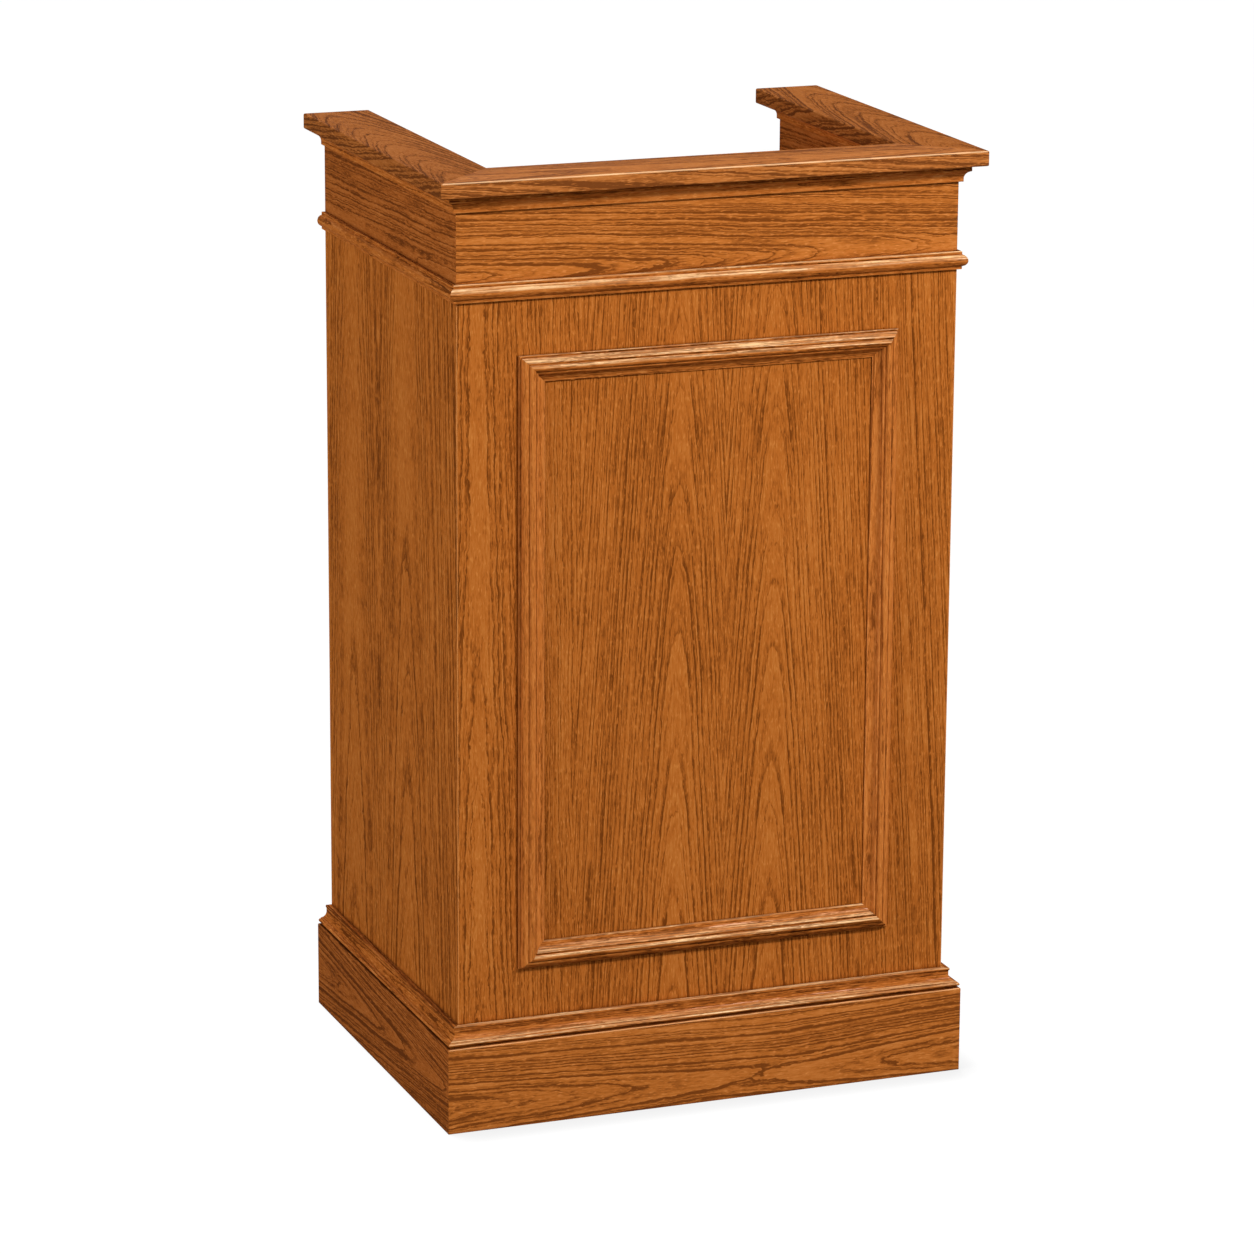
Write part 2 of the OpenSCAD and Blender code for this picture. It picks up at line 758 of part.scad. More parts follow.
module desk_rail() {
    inside_w = carcase_w - 2 * panel_t;
    low_z = under_desk(rail_back_y) - rail_h;
    color(oak) difference() {
        translate([-inside_w / 2, 0, 0]) rotate([90, 0, 90]) linear_extrude(inside_w) polygon([
            [rail_front_y, low_z], [rail_back_y, low_z],
            [rail_back_y, under_desk(rail_back_y)], [rail_front_y, under_desk(rail_front_y)]
        ]);
        rail_dowels_at("left", clearance);
        rail_dowels_at("right", clearance);
    }
}

module rail_dowels() {
    color(raw_wood) for (side = ["left", "right"]) rail_dowels_at(side);
}

front_panel();
side_panel("left");  // left_side_panel
side_panel("right");  // right_side_panel
color(raw_wood) panel_spline(-1);  // left_corner_spline
color(raw_wood) panel_spline(1);  // right_corner_spline
back_edging(-1);  // left_back_edging
back_edging(1);  // right_back_edging
frieze_board("front");  // front_frieze_board
frieze_board("left");  // left_frieze_board
frieze_board("right");  // right_frieze_board
frieze_splines();
frieze_dowels();
cap_board("front");  // front_cap_board
cap_board("left");  // left_cap_board
cap_board("right");  // right_cap_board
cap_biscuits();
cap_dowels();
crown_moulding("front");  // front_crown_moulding
crown_moulding("left");  // left_crown_moulding
crown_moulding("right");  // right_crown_moulding
inner_crown("front");  // front_inner_crown
inner_crown("left");  // left_inner_crown
inner_crown("right");  // right_inner_crown
bead_moulding("front");  // front_bead_moulding
bead_moulding("left");  // left_bead_moulding
bead_moulding("right");  // right_bead_moulding
frame_side(180);  // frame_top_moulding
frame_side(0);  // frame_bottom_moulding
frame_side(90);  // frame_left_moulding
frame_side(-90);  // frame_right_moulding
base_board("front");  // front_base_board
base_board("left");  // left_base_board
base_board("right");  // right_base_board
base_moulding("front");  // front_base_moulding
base_moulding("left");  // left_base_moulding
base_moulding("right");  // right_base_moulding
base_screws();
base_glue_blocks();
moulding_pins();
color(oak) shelf_board(bottom_shelf_z, bottom_setback);  // bottom_shelf
color(oak) shelf_edging(bottom_shelf_z, bottom_setback);  // bottom_shelf_edging
color(oak) shelf_board(middle_shelf_z, middle_setback);  // middle_shelf
color(oak) shelf_edging(middle_shelf_z, middle_setback);  // middle_shelf_edging
toe_board();
desk_board();
book_stop();
desk_cleat("left");  // left_desk_cleat
desk_cleat("right");  // right_desk_cleat
front_desk_cleat();
cleat_screws();
desk_rail();
rail_dowels();
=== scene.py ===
# A free-standing pulpit of red oak, stained a medium reddish brown and lacquered. It has three
# veneered sides and an open back, base boards round the foot, a frieze and a U-shaped mitred cap.
# Metres. The framed front faces -Y, the open back +Y, and the floor is Z 0.

import math

import bmesh
import bpy
from mathutils import Matrix, Vector


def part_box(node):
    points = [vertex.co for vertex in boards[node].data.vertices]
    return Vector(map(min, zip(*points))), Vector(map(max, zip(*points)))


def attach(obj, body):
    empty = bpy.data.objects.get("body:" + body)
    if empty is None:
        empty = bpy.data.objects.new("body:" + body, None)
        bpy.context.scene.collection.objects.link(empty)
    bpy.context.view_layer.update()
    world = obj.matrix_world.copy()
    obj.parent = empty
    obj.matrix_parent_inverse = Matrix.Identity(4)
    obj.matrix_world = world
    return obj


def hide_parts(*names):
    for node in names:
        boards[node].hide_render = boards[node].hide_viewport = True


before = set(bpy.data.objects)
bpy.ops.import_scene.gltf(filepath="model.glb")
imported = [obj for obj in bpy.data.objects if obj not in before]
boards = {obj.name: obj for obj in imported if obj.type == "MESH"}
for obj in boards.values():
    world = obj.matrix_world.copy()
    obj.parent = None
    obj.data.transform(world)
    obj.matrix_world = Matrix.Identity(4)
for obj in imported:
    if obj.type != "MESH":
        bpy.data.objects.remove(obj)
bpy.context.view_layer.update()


# Carcase panels: 19 mm board faced with flat-sliced red oak veneer, stained and sprayed with a
# satin lacquer. The front panel is mitred and splined to the two side panels, whose back edges
# carry strips of solid oak.

MM = 0.001
side_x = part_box("right_side_panel")[1].x
front_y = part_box("front_panel")[0].y
back_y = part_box("left_back_edging")[1].y
panel_mid_z = (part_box("front_panel")[0].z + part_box("front_panel")[1].z) / 2
mid_y = (front_y + back_y) / 2
SIDES = ((-1, "left"), (1, "right"))


def stain(red, green, blue):
    """A colour as it looks on a screen, 0 to 255, in the linear values that a shader takes."""
    shares = [channel / 255 for channel in (red, green, blue)]
    return [s / 12.92 if s <= 0.04045 else ((s + 0.055) / 1.055) ** 2.4 for s in shares] + [1.0]


def put(tree, kind, settings, inputs):
    """Adds a node with its settings. Each input takes a value, or an output to link from."""
    made = tree.nodes.new(kind)
    for key, value in settings.items():
        setattr(made, key, value)
    for key, value in inputs.items():
        if isinstance(value, bpy.types.NodeSocket):
            tree.links.new(value, made.inputs[key])
        else:
            made.inputs[key].default_value = value
    return made


def sums(tree, operation, *values):
    return put(tree, "ShaderNodeMath", {"operation": operation}, dict(enumerate(values))).outputs[0]


def times(tree, first, second):
    return sums(tree, "MULTIPLY", first, second)


def less(tree, first, second):
    return sums(tree, "SUBTRACT", first, second)


def times_plus(tree, value, factor, more):
    return sums(tree, "MULTIPLY_ADD", value, factor, more)


def ease(tree, value, low, high):
    """0 below low, 1 above high, and a smooth rise between them."""
    settings = {"interpolation_type": "SMOOTHSTEP"}
    return put(tree, "ShaderNodeMapRange", settings, {0: value, 1: low, 2: high}).outputs[0]


def blend_colours(tree, factor, low, high):
    inputs = {"Factor": factor, "A": low, "B": high}
    return put(tree, "ShaderNodeMix", {"data_type": "RGBA"}, inputs).outputs["Result"]


def vectors(tree, operation, first, second):
    return put(tree, "ShaderNodeVectorMath", {"operation": operation}, {0: first, 1: second}).outputs[0]


def joined(tree, x=0.0, y=0.0, z=0.0):
    return put(tree, "ShaderNodeCombineXYZ", {}, {0: x, 1: y, 2: z}).outputs[0]


def parted(tree, vector):
    return put(tree, "ShaderNodeSeparateXYZ", {}, {0: vector}).outputs


def noise(tree, place, per_metre, detail=1, roughness=0.5):
    """Noise with so many cells in each metre along the three axes: its value and its colour."""
    spot = vectors(tree, "MULTIPLY", place, per_metre)
    inputs = {"Vector": spot, "Scale": 1.0, "Detail": detail, "Roughness": roughness}
    return put(tree, "ShaderNodeTexNoise", {}, inputs).outputs


def open_group(name, inputs, outputs, tree_kind="ShaderNodeTree"):
    """A node group with its named inputs and outputs: the tree, and where to link them."""
    tree = bpy.data.node_groups.new(name, tree_kind)
    for title, kind in inputs.items():
        tree.interface.new_socket(title, in_out="INPUT", socket_type="NodeSocket" + kind)
    for title, kind in outputs.items():
        tree.interface.new_socket(title, in_out="OUTPUT", socket_type="NodeSocket" + kind)
    return tree, tree.nodes.new("NodeGroupInput").outputs, tree.nodes.new("NodeGroupOutput").inputs


# How often each sway of the rings turns per metre, across, through and along the board, and its
# share of the wander
SWAYS = (
    ((7, 7, 1.3), 1.0),
    ((26, 26, 8), 0.35),
    ((110, 110, 36), 0.14),
    ((230, 230, 85), 0.12),
)


def growth_rings_group():
    """Counts the growth rings from the heart of the log, across X, through Y and along Z. Slope is
    0 where the surface only skims a ring, over the heart, and 1 where it cuts the ring square."""
    tree, given, made = open_group(
        "growth_rings",
        {"Vector": "Vector", "Piece": "Float", "Heart Across": "Float", "Heart Depth": "Float",
         "Ring Width": "Float", "Taper": "Float", "Wander": "Float"},
        {"Rings": "Float", "Slope": "Float"},
    )
    apart = joined(tree, given["Piece"], given["Piece"], given["Piece"])
    place = vectors(tree, "ADD", given["Vector"], apart)
    swayed = place
    for per_metre, share in SWAYS:
        sway = noise(tree, place, per_metre, 2)["Color"]
        centred = vectors(tree, "SUBTRACT", sway, (0.5, 0.5, 0.5))
        reach = times(tree, given["Wander"], share)
        scaled = put(tree, "ShaderNodeVectorMath", {"operation": "SCALE"}, {0: centred, "Scale": reach})
        swayed = vectors(tree, "ADD", swayed, scaled.outputs[0])
    axes = parted(tree, vectors(tree, "SUBTRACT", swayed, apart))
    across = less(tree, axes[0], given["Heart Across"])
    deep = less(tree, axes[1], given["Heart Depth"])
    radius = sums(tree, "SQRT", times_plus(tree, across, across, times(tree, deep, deep)))
    grown = times_plus(tree, axes[2], given["Taper"], radius)
    tree.links.new(sums(tree, "DIVIDE", grown, given["Ring Width"]), made["Rings"])
    tree.links.new(sums(tree, "DIVIDE", sums(tree, "ABSOLUTE", across), radius), made["Slope"])
    return tree


def stained_oak_group():
    """Colour, gloss and relief of stained oak from its ring count and its place in the board, with painted
    highlights on its rounds and painted shade in its corners and hollows.
    """
    tree, given, made = open_group(
        "stained_oak",
        {"Vector": "Vector", "Piece": "Float", "Rings": "Float", "Slope": "Float", "Figure": "Float",
         "Fibre": "Float", "Wear And Painted Light": "Float", "Corner": "Float", "Streaky": "Float", "Worn And Highlight": "Color",
         "Light": "Color", "Middle": "Color", "Dark": "Color"},
        {"Color": "Color", "Roughness": "Float", "Height": "Float", "Lacquer": "Float"},
    )
    apart = joined(tree, given["Piece"], given["Piece"], given["Piece"])
    place = vectors(tree, "ADD", given["Vector"], apart)
    along = parted(tree, place)[2]

    # Rings of uneven width. Each starts with a dark line of pores and fades into summer wood, and
    # the line is sharp where the ring is cut flat and broad where it is cut square
    unevenness = 2.2
    pace = times_plus(tree, given["Rings"], 0.43, given["Piece"])
    inputs = {"W": pace, "Scale": 1.0, "Detail": 1.0}
    drift = put(tree, "ShaderNodeTexNoise", {"noise_dimensions": "1D"}, inputs)
    swing = less(tree, drift.outputs[0], 0.5)
    uneven = times_plus(tree, swing, unevenness, given["Rings"])
    square_cut = ease(tree, given["Slope"], 0.15, 0.65)

    def ring_noise(per_ring, per_metre, detail):
        """Noise that follows the rings: so many cells across each ring, and along the board."""
        spot = joined(tree, uneven, given["Piece"], along)
        return noise(tree, spot, (per_ring, 1, per_metre), detail, 0.6)[0]

    def weaker_cut_flat(value, loss):
        """The value, less a share of it where the ring is cut flat."""
        return times(tree, value, times_plus(tree, square_cut, loss, 1.0 - loss))

    share = sums(tree, "FRACT", uneven)
    year = sums(tree, "ADD", sums(tree, "FLOOR", uneven), given["Piece"])
    vigour = put(tree, "ShaderNodeTexWhiteNoise", {"noise_dimensions": "1D"}, {"W": year}).outputs["Value"]
    wane = less(tree, 1.0, share)
    sharp = sums(tree, "POWER", wane, times_plus(tree, square_cut, -6.0, 12.0))
    broad = weaker_cut_flat(sums(tree, "POWER", wane, 2.0), 0.8)
    core = sums(tree, "ADD", times(tree, sharp, 0.72), times(tree, broad, 0.28))
    core = times(tree, ease(tree, share, 0.0, 0.05), core)
    later = sums(tree, "FRACT", times_plus(tree, uneven, 2.0, vigour))
    minor = sums(tree, "POWER", less(tree, 1.0, later), 4.0)
    minor = weaker_cut_flat(times(tree, minor, ease(tree, later, 0.0, 0.15)), 0.4)
    lines = times(tree, core, times_plus(tree, vigour, 0.65, 0.5))
    lines = times_plus(tree, minor, 0.45, lines)
    patches = ease(tree, ring_noise(1.3, 10.0, 2), 0.30, 0.56)
    dashes = ease(tree, ring_noise(4.0, 60.0, 1), 0.30, 0.62)
    spring = times(tree, lines, times_plus(tree, patches, 0.4, 0.6))
    spring = times(tree, spring, times_plus(tree, dashes, 0.35, 0.65))
    spring = weaker_cut_flat(spring, 0.15)

    # Fibres that follow the rings, straight fibres, pale flecks, short open pores and broad clouds
    streaks = weaker_cut_flat(less(tree, ring_noise(2.7, 11.0, 2), 0.5), 0.6)
    fibres = noise(tree, place, (460, 460, 50), 2, 0.7)[0]
    flecks = ease(tree, noise(tree, place, (600, 600, 110))[0], 0.57, 0.72)
    cells = noise(tree, place, (760, 760, 130))["Color"]
    pores = times_plus(tree, spring, 1.6, 0.4)
    pores = times(tree, pores, ease(tree, parted(tree, cells)[0], 0.54, 0.68))
    clouds = noise(tree, place, (13, 13, 2.2), 2)[0]

    # Tone mixes the three stains: 0 is the dark one, 0.5 the plain one and 1 the light one
    plain_tone, darkest_line = 0.59, 0.12
    streak_gain, cloud_gain, fleck_gain, line_gain, pore_gain, hollow_shade_gain = 1.1, 0.5, 0.42, 1.35, 0.24, 0.7
    tone = times_plus(tree, streaks, streak_gain, plain_tone)
    tone = times_plus(tree, less(tree, fibres, 0.5), given["Fibre"], tone)
    tone = times_plus(tree, less(tree, clouds, 0.5), cloud_gain, tone)
    tone = times_plus(tree, flecks, fleck_gain, tone)
    strength = times(tree, given["Figure"], line_gain)
    tone = less(tree, tone, times(tree, spring, strength))
    tone = less(tree, tone, times(tree, pores, pore_gain))
    tone = sums(tree, "MAXIMUM", tone, darkest_line)
    # Hollows and undersides darker, and black under the cap: painted shade, partly stain held in the hollows
    hollow = sums(tree, "MINIMUM", less(tree, given["Wear And Painted Light"], 0.5), 0.0)
    tone = times_plus(tree, hollow, hollow_shade_gain, tone)
    low = blend_colours(tree, times(tree, tone, 2.0), given["Dark"], given["Middle"])
    full = blend_colours(tree, times_plus(tree, tone, 2.0, -1.0), low, given["Light"])

    # Painted highlights, partly worn stain, make the rounds pale in streaks, and painted shade darkens the
    # corners
    streak_mask = ease(tree, noise(tree, place, (380, 380, 12))[0], 0.40, 0.62)
    reached = times(tree, ease(tree, tone, 0.1, 0.8), streak_mask)
    missed = times(tree, less(tree, 1.0, reached), given["Streaky"])
    # Painted highlight, partly worn stain, on rounds and arrises in pale streaks
    paler = times(tree, ease(tree, given["Wear And Painted Light"], 0.58, 1.0), less(tree, 1.0, missed))
    full = blend_colours(tree, paler, full, given["Worn And Highlight"])
    # Painted shade in the corners and crevices, towards the dark stain
    full = blend_colours(tree, times(tree, given["Corner"], 0.8), full, given["Dark"])
    tree.links.new(full, made["Color"])
    gloss = times_plus(tree, pores, 0.25, times_plus(tree, clouds, 0.14, 0.22))
    tree.links.new(gloss, made["Roughness"])
    polished = times(tree, streak_mask, ease(tree, given["Wear And Painted Light"], 0.36, 0.6))
    tree.links.new(times(tree, polished, ease(tree, tone, 0.2, 0.9)), made["Lacquer"])
    relief = times_plus(tree, pores, -0.6, times_plus(tree, spring, -0.5, fibres))
    tree.links.new(relief, made["Height"])
    return tree


def arris_wear_and_highlight_group():
    """Finds the arrises that are painted pale as a highlight, partly worn stain: 0.5 on a face and 1 on an
    arris. They are the upper level ones, but not a mitre's, and with Upright also the corners between faces."""
    tree, given, made = open_group("arris_wear_and_highlight", {"Upright": "Float"}, {"Wear And Painted Light": "Float"})
    eased = put(tree, "ShaderNodeBevel", {"samples": 4}, {"Radius": 2.2 * MM}).outputs[0]
    facing = put(tree, "ShaderNodeNewGeometry", {}, {}).outputs["Normal"]
    eased_axes = parted(tree, eased)
    facing_up = parted(tree, facing)[2]
    tilted = sums(tree, "ABSOLUTE", less(tree, eased_axes[2], facing_up))
    level = times(tree, ease(tree, tilted, 0.05, 0.35), ease(tree, eased_axes[2], 0.05, 0.2))
    slanting = ease(tree, less(tree, 1.0, sums(tree, "ABSOLUTE", facing_up)), 0.06, 0.2)
    slanting = times(tree, slanting, ease(tree, facing_up, 0.1, 0.3))
    level = sums(tree, "MAXIMUM", level, slanting)
    sideways = [sums(tree, "ABSOLUTE", axis) for axis in eased_axes[:2]]
    aside = sums(tree, "MINIMUM", *sideways)
    level = times(tree, level, less(tree, 1.0, ease(tree, aside, 0.05, 0.2)))
    turned = put(tree, "ShaderNodeVectorMath", {"operation": "DOT_PRODUCT"}, {0: eased, 1: facing})
    between = ease(tree, less(tree, 1.0, turned.outputs["Value"]), 0.02, 0.15)
    upright = times(tree, between, given["Upright"])
    wear_and_painted_light = sums(tree, "MAXIMUM", level, upright)
    tree.links.new(times_plus(tree, wear_and_painted_light, 0.5, 0.5), made["Wear And Painted Light"])
    return tree


def corner_shade_group():
    """Finds the corners that get painted shade, by how much stands within a few millimetres."""
    tree, given, made = open_group("corner_shade", {"Reach": "Float"}, {"Corner": "Float"})
    shut = put(tree, "ShaderNodeAmbientOcclusion", {"samples": 6}, {"Distance": given["Reach"]}).outputs["AO"]
    tree.links.new(ease(tree, less(tree, 1.0, shut), 0.15, 0.60), made["Corner"])
    return tree


growth_rings = growth_rings_group()
stained_oak = stained_oak_group()
arris_wear_and_highlight = arris_wear_and_highlight_group()
corner_shade = corner_shade_group()

# Turns that lay the grain along Z, with the board's width along X and its thickness along Y
QUARTER = math.pi / 2
GRAIN_TURNS = {
    "front upright": (0, 0, 0),
    "side upright": (0, 0, QUARTER),
    "front level": (0, -QUARTER, 2 * QUARTER),
    "side level": (QUARTER, 0, QUARTER),
    "flat across": (0, -QUARTER, QUARTER),
    "flat deep": (QUARTER, 0, 0),
}
# Each set holds the pale colour of worn arrises and painted highlights, then the light, plain and dark stains
PANEL_STAINS = (stain(214, 142, 78), stain(200, 124, 56), stain(178, 99, 36), stain(84, 38, 8))
SOLID_STAINS = (stain(236, 172, 116), stain(210, 132, 66), stain(186, 107, 43), stain(90, 41, 12))
# Darker than the solid stains, for the boards on the sides: painted shade
DEEP_STAINS = (stain(214, 146, 92), stain(186, 112, 54), stain(164, 90, 36), stain(72, 32, 8))


def new_material(name):
    """A material, its node tree and its shader."""
    material = bpy.data.materials.new(name)
    material.use_nodes = True
    return material, material.node_tree, material.node_tree.nodes["Principled BSDF"]


def heart(across, depth, ring, taper, wander):
    """Where the log's heart lies from the finish's middle, how wide its rings are and how far they
    wander, all in millimetres, and how much they lean along the board."""
    return {"Heart Across": across * MM, "Heart Depth": depth * MM, "Ring Width": ring * MM,
            "Taper": taper, "Wander": wander * MM}


def oak_finish(name, lie, middle, piece, hearts, stains=PANEL_STAINS, figure=0.8, fibre=1.0, coarse=1.0,
               moulded=False, wear_and_highlight=1.0, upright_wear_and_highlight=0.0, sheen=0.0004, lacquer=0.0):
    """Stained oak for one board. lie turns the grain, middle is the point it is laid from, and piece is a
    number that gives it its own figure. The stains are the colours of a worn arris and painted highlight, of
    pale and plain wood, and of the dark lines. A moulding takes its wear and painted light from its section."""
    worn_and_painted_light, light, plain, dark = stains
    # How far the painted shade of corners reaches, and how strong it is
    shade_reach, corner_shade_share = 7 * MM, 0.5 if moulded else 1.0
    material, tree, shader = new_material(name)
    coords = put(tree, "ShaderNodeTexCoord", {}, {}).outputs["Object"]
    centred = vectors(tree, "SUBTRACT", coords, middle)
    laid = put(tree, "ShaderNodeMapping", {}, {"Vector": centred, "Rotation": GRAIN_TURNS[lie]}).outputs[0]
    rings, slope = None, None
    for log in hearts:
        inputs = {"Vector": laid, "Piece": piece, **log}
        count = put(tree, "ShaderNodeGroup", {"node_tree": growth_rings}, inputs)
        if rings is None:
            rings, slope = count.outputs
            continue
        nearer = sums(tree, "LESS_THAN", count.outputs["Rings"], rings)
        change = less(tree, count.outputs["Slope"], slope)
        slope = times_plus(tree, change, nearer, slope)
        rings = sums(tree, "MINIMUM", rings, count.outputs["Rings"])
    if moulded:
        found = put(tree, "ShaderNodeAttribute", {"attribute_name": "wear_and_painted_light"}, {}).outputs["Fac"]
    else:
        inputs = {"Upright": upright_wear_and_highlight}
        found = put(tree, "ShaderNodeGroup", {"node_tree": arris_wear_and_highlight}, inputs).outputs[0]
    wear_and_painted_light = times_plus(tree, less(tree, found, 0.5), wear_and_highlight, 0.5)
    # Painted shade for corners and crevices, weaker on the mouldings
    corner = put(tree, "ShaderNodeGroup", {"node_tree": corner_shade}, {"Reach": shade_reach}).outputs[0]
    oak = put(tree, "ShaderNodeGroup", {"node_tree": stained_oak}, {
        "Vector": vectors(tree, "MULTIPLY", laid, (1 / coarse, 1 / coarse, 1.0)),
        "Piece": piece, "Rings": rings, "Slope": slope, "Figure": figure, "Fibre": fibre, "Wear And Painted Light": wear_and_painted_light,
        "Corner": times(tree, corner, corner_shade_share), "Streaky": 0.85 if moulded else 0.3,
        "Worn And Highlight": worn_and_painted_light, "Light": light, "Middle": plain, "Dark": dark}).outputs
    bump = put(tree, "ShaderNodeBump", {}, {"Height": oak["Height"], "Strength": 0.35, "Distance": 0.4 * MM})
    tree.links.new(oak["Color"], shader.inputs["Base Color"])
    tree.links.new(sums(tree, "ADD", oak["Roughness"], 0.1), shader.inputs["Roughness"])
    tree.links.new(bump.outputs["Normal"], shader.inputs["Normal"])
    shader.inputs["Specular IOR Level"].default_value = sheen
    shader.inputs["Specular Tint"].default_value = stain(255, 205, 140)
    if lacquer:
        tree.links.new(times(tree, oak["Lacquer"], lacquer), shader.inputs["Coat Weight"])
        shader.inputs["Coat Roughness"].default_value = 0.24
    return material


def dress(node, material):
    """Gives a carried-over board its finish."""
    slots = boards[node].material_slots
    for one in slots:
        one.material = material
    if not slots:
        boards[node].data.materials.append(material)


# Two slip-matched leaves with narrow cathedrals in the middle, and a broad wild one at the left
front_leaves = [
    heart(across=-39, depth=25, ring=5.6, taper=0.056, wander=10),
    heart(across=85, depth=25, ring=5.6, taper=0.058, wander=10),
    heart(across=-292, depth=14, ring=5.2, taper=0.016, wander=22),
]
dress("front_panel", oak_finish(
    "oak_front_panel", "front upright", (0, front_y, panel_mid_z), piece=0.0,
    hearts=front_leaves, figure=0.78, upright_wear_and_highlight=1.0))
for sign, side in SIDES:
    side_leaves = [
        heart(across=-60 * sign, depth=70, ring=9.5, taper=0.044, wander=16),
        heart(across=150 * sign, depth=90, ring=10.5, taper=0.038, wander=18),
    ]
    dress(side + "_side_panel", oak_finish(
        "oak_%s_panel" % side, "side upright", (sign * side_x, mid_y, panel_mid_z), piece=11.0 + sign,
        hearts=side_leaves, figure=0.95, fibre=1.2, coarse=1.5))
    dress(side + "_back_edging", oak_finish(
        "oak_%s_back_edging" % side, "front upright", (sign * side_x, back_y, panel_mid_z), piece=21.0 + sign,
        hearts=[heart(across=9, depth=30, ring=3.0, taper=0.008, wander=5)], stains=SOLID_STAINS))


# Frieze boards: 25 mm solid oak, plain-sawn with the grain level, mitred at the front corners,
# splined there, and dowelled between the panels and the cap.

frieze_mid_z = (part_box("front_frieze_board")[0].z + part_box("front_frieze_board")[1].z) / 2
dress("front_frieze_board", oak_finish(
    "oak_front_frieze", "front level", (0, front_y, frieze_mid_z), piece=31.0,
    hearts=[heart(across=-36, depth=12, ring=5.2, taper=0.056, wander=18)],
    stains=SOLID_STAINS, figure=1.5))
for sign, side in SIDES:
    dress(side + "_frieze_board", oak_finish(
        "oak_%s_frieze" % side, "side level", (sign * side_x, mid_y, frieze_mid_z), piece=33.0 + sign,
        hearts=[heart(across=-40, depth=16, ring=6.0, taper=0.028, wander=20)],
        stains=DEEP_STAINS, figure=1.1))


# Cap: three 19 mm solid oak boards mitred into a U and joined with biscuits, laid flat on the
# frieze with their long edges rounded over, and dowelled down.

cap_high_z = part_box("front_cap_board")[1].z
cap_mid_y = (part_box("front_cap_board")[0].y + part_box("front_cap_board")[1].y) / 2
cap_side_x = (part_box("right_cap_board")[0].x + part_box("right_cap_board")[1].x) / 2
CAP_STAINS = (stain(244, 196, 146), stain(204, 132, 70), stain(180, 106, 48), stain(88, 42, 16))
SIDE_CAP_STAINS = (stain(214, 150, 96), stain(184, 114, 58), stain(160, 92, 40), stain(76, 36, 14))
dress("front_cap_board", oak_finish(
    "oak_front_cap", "flat across", (0, cap_mid_y, cap_high_z), piece=41.0,
    hearts=[heart(across=18, depth=34, ring=7.0, taper=0.052, wander=14)],
    stains=CAP_STAINS, figure=1.3, sheen=0.0012))
for sign, side in SIDES:
    dress(side + "_cap_board", oak_finish(
        "oak_%s_cap" % side, "flat deep", (sign * cap_side_x, mid_y, cap_high_z), piece=43.0 + sign,
        hearts=[heart(across=12 * sign, depth=44, ring=5.6, taper=0.110, wander=15)],
        stains=SIDE_CAP_STAINS, figure=1.4, wear_and_highlight=0.15))


# Crown moulding: a hollow between two fillets, machined from solid oak in lengths, mitred round
# the front and pinned to the frieze under the cap, outside and inside.

# The pale first colour also paints the highlights on the mouldings' rounds and upper faces
MOULDING_STAINS = (stain(248, 206, 150), stain(204, 128, 62), stain(178, 99, 38), stain(70, 30, 8))


def arc(centre, radius, start, end, steps=10):
    """Points of an arc from one angle to another, in degrees."""
    turns = [math.radians(start + (end - start) * k / steps) for k in range(steps + 1)]
    return [(centre[0] + radius * math.cos(t), centre[1] + radius * math.sin(t)) for t in turns]


def softened(points, radius, least_bend=25, sides_share=2.2):
    """The outline with every sharp corner rubbed round to a small radius, as sanding leaves it.
    Bends under the least, in degrees, stay as they are."""
    soft = []
    for k, (x, z) in enumerate(points):
        here = Vector((x, z))
        before = Vector(points[k - 1]) - here
        after = Vector(points[(k + 1) % len(points)]) - here
        bend = math.pi - before.angle(after)
        if bend < math.radians(least_bend):
            soft.append((x, z))
            continue
        back = min(radius * math.tan(bend / 2), before.length / sides_share, after.length / sides_share)
        start = here + before.normalized() * back
        end = here + after.normalized() * back
        for step in (0.0, 0.33, 0.67, 1.0):
            soft.append(tuple(start.lerp(here, step).lerp(here.lerp(end, step), step)))
    return soft


def roundness_shares(points, reach, full_bend=150):
    """1 on the rounds of an outline, which get pale wear and a painted highlight, and 0 in its hollows, which
    get painted shade and held stain. The bends are summed within reach of each point, and half of the full
    bend, in degrees, gives the 1 or 0."""
    count = len(points)
    bends = []
    for k in range(count):
        before = Vector(points[k]) - Vector(points[k - 1])
        after = Vector(points[(k + 1) % count]) - Vector(points[k])
        bends.append(-before.angle_signed(after) if before.length and after.length else 0.0)
    shares = []
    for k in range(count):
        total = bends[k]
        for way in (-1, 1):
            walked, at = 0.0, k
            while walked < reach:
                ahead = (at + way) % count
                walked += (Vector(points[ahead]) - Vector(points[at])).length
                at = ahead
                if walked < reach:
                    total += bends[at]
        shares.append(min(1.0, max(0.0, 0.5 + total / math.radians(full_bend))))
    return shares


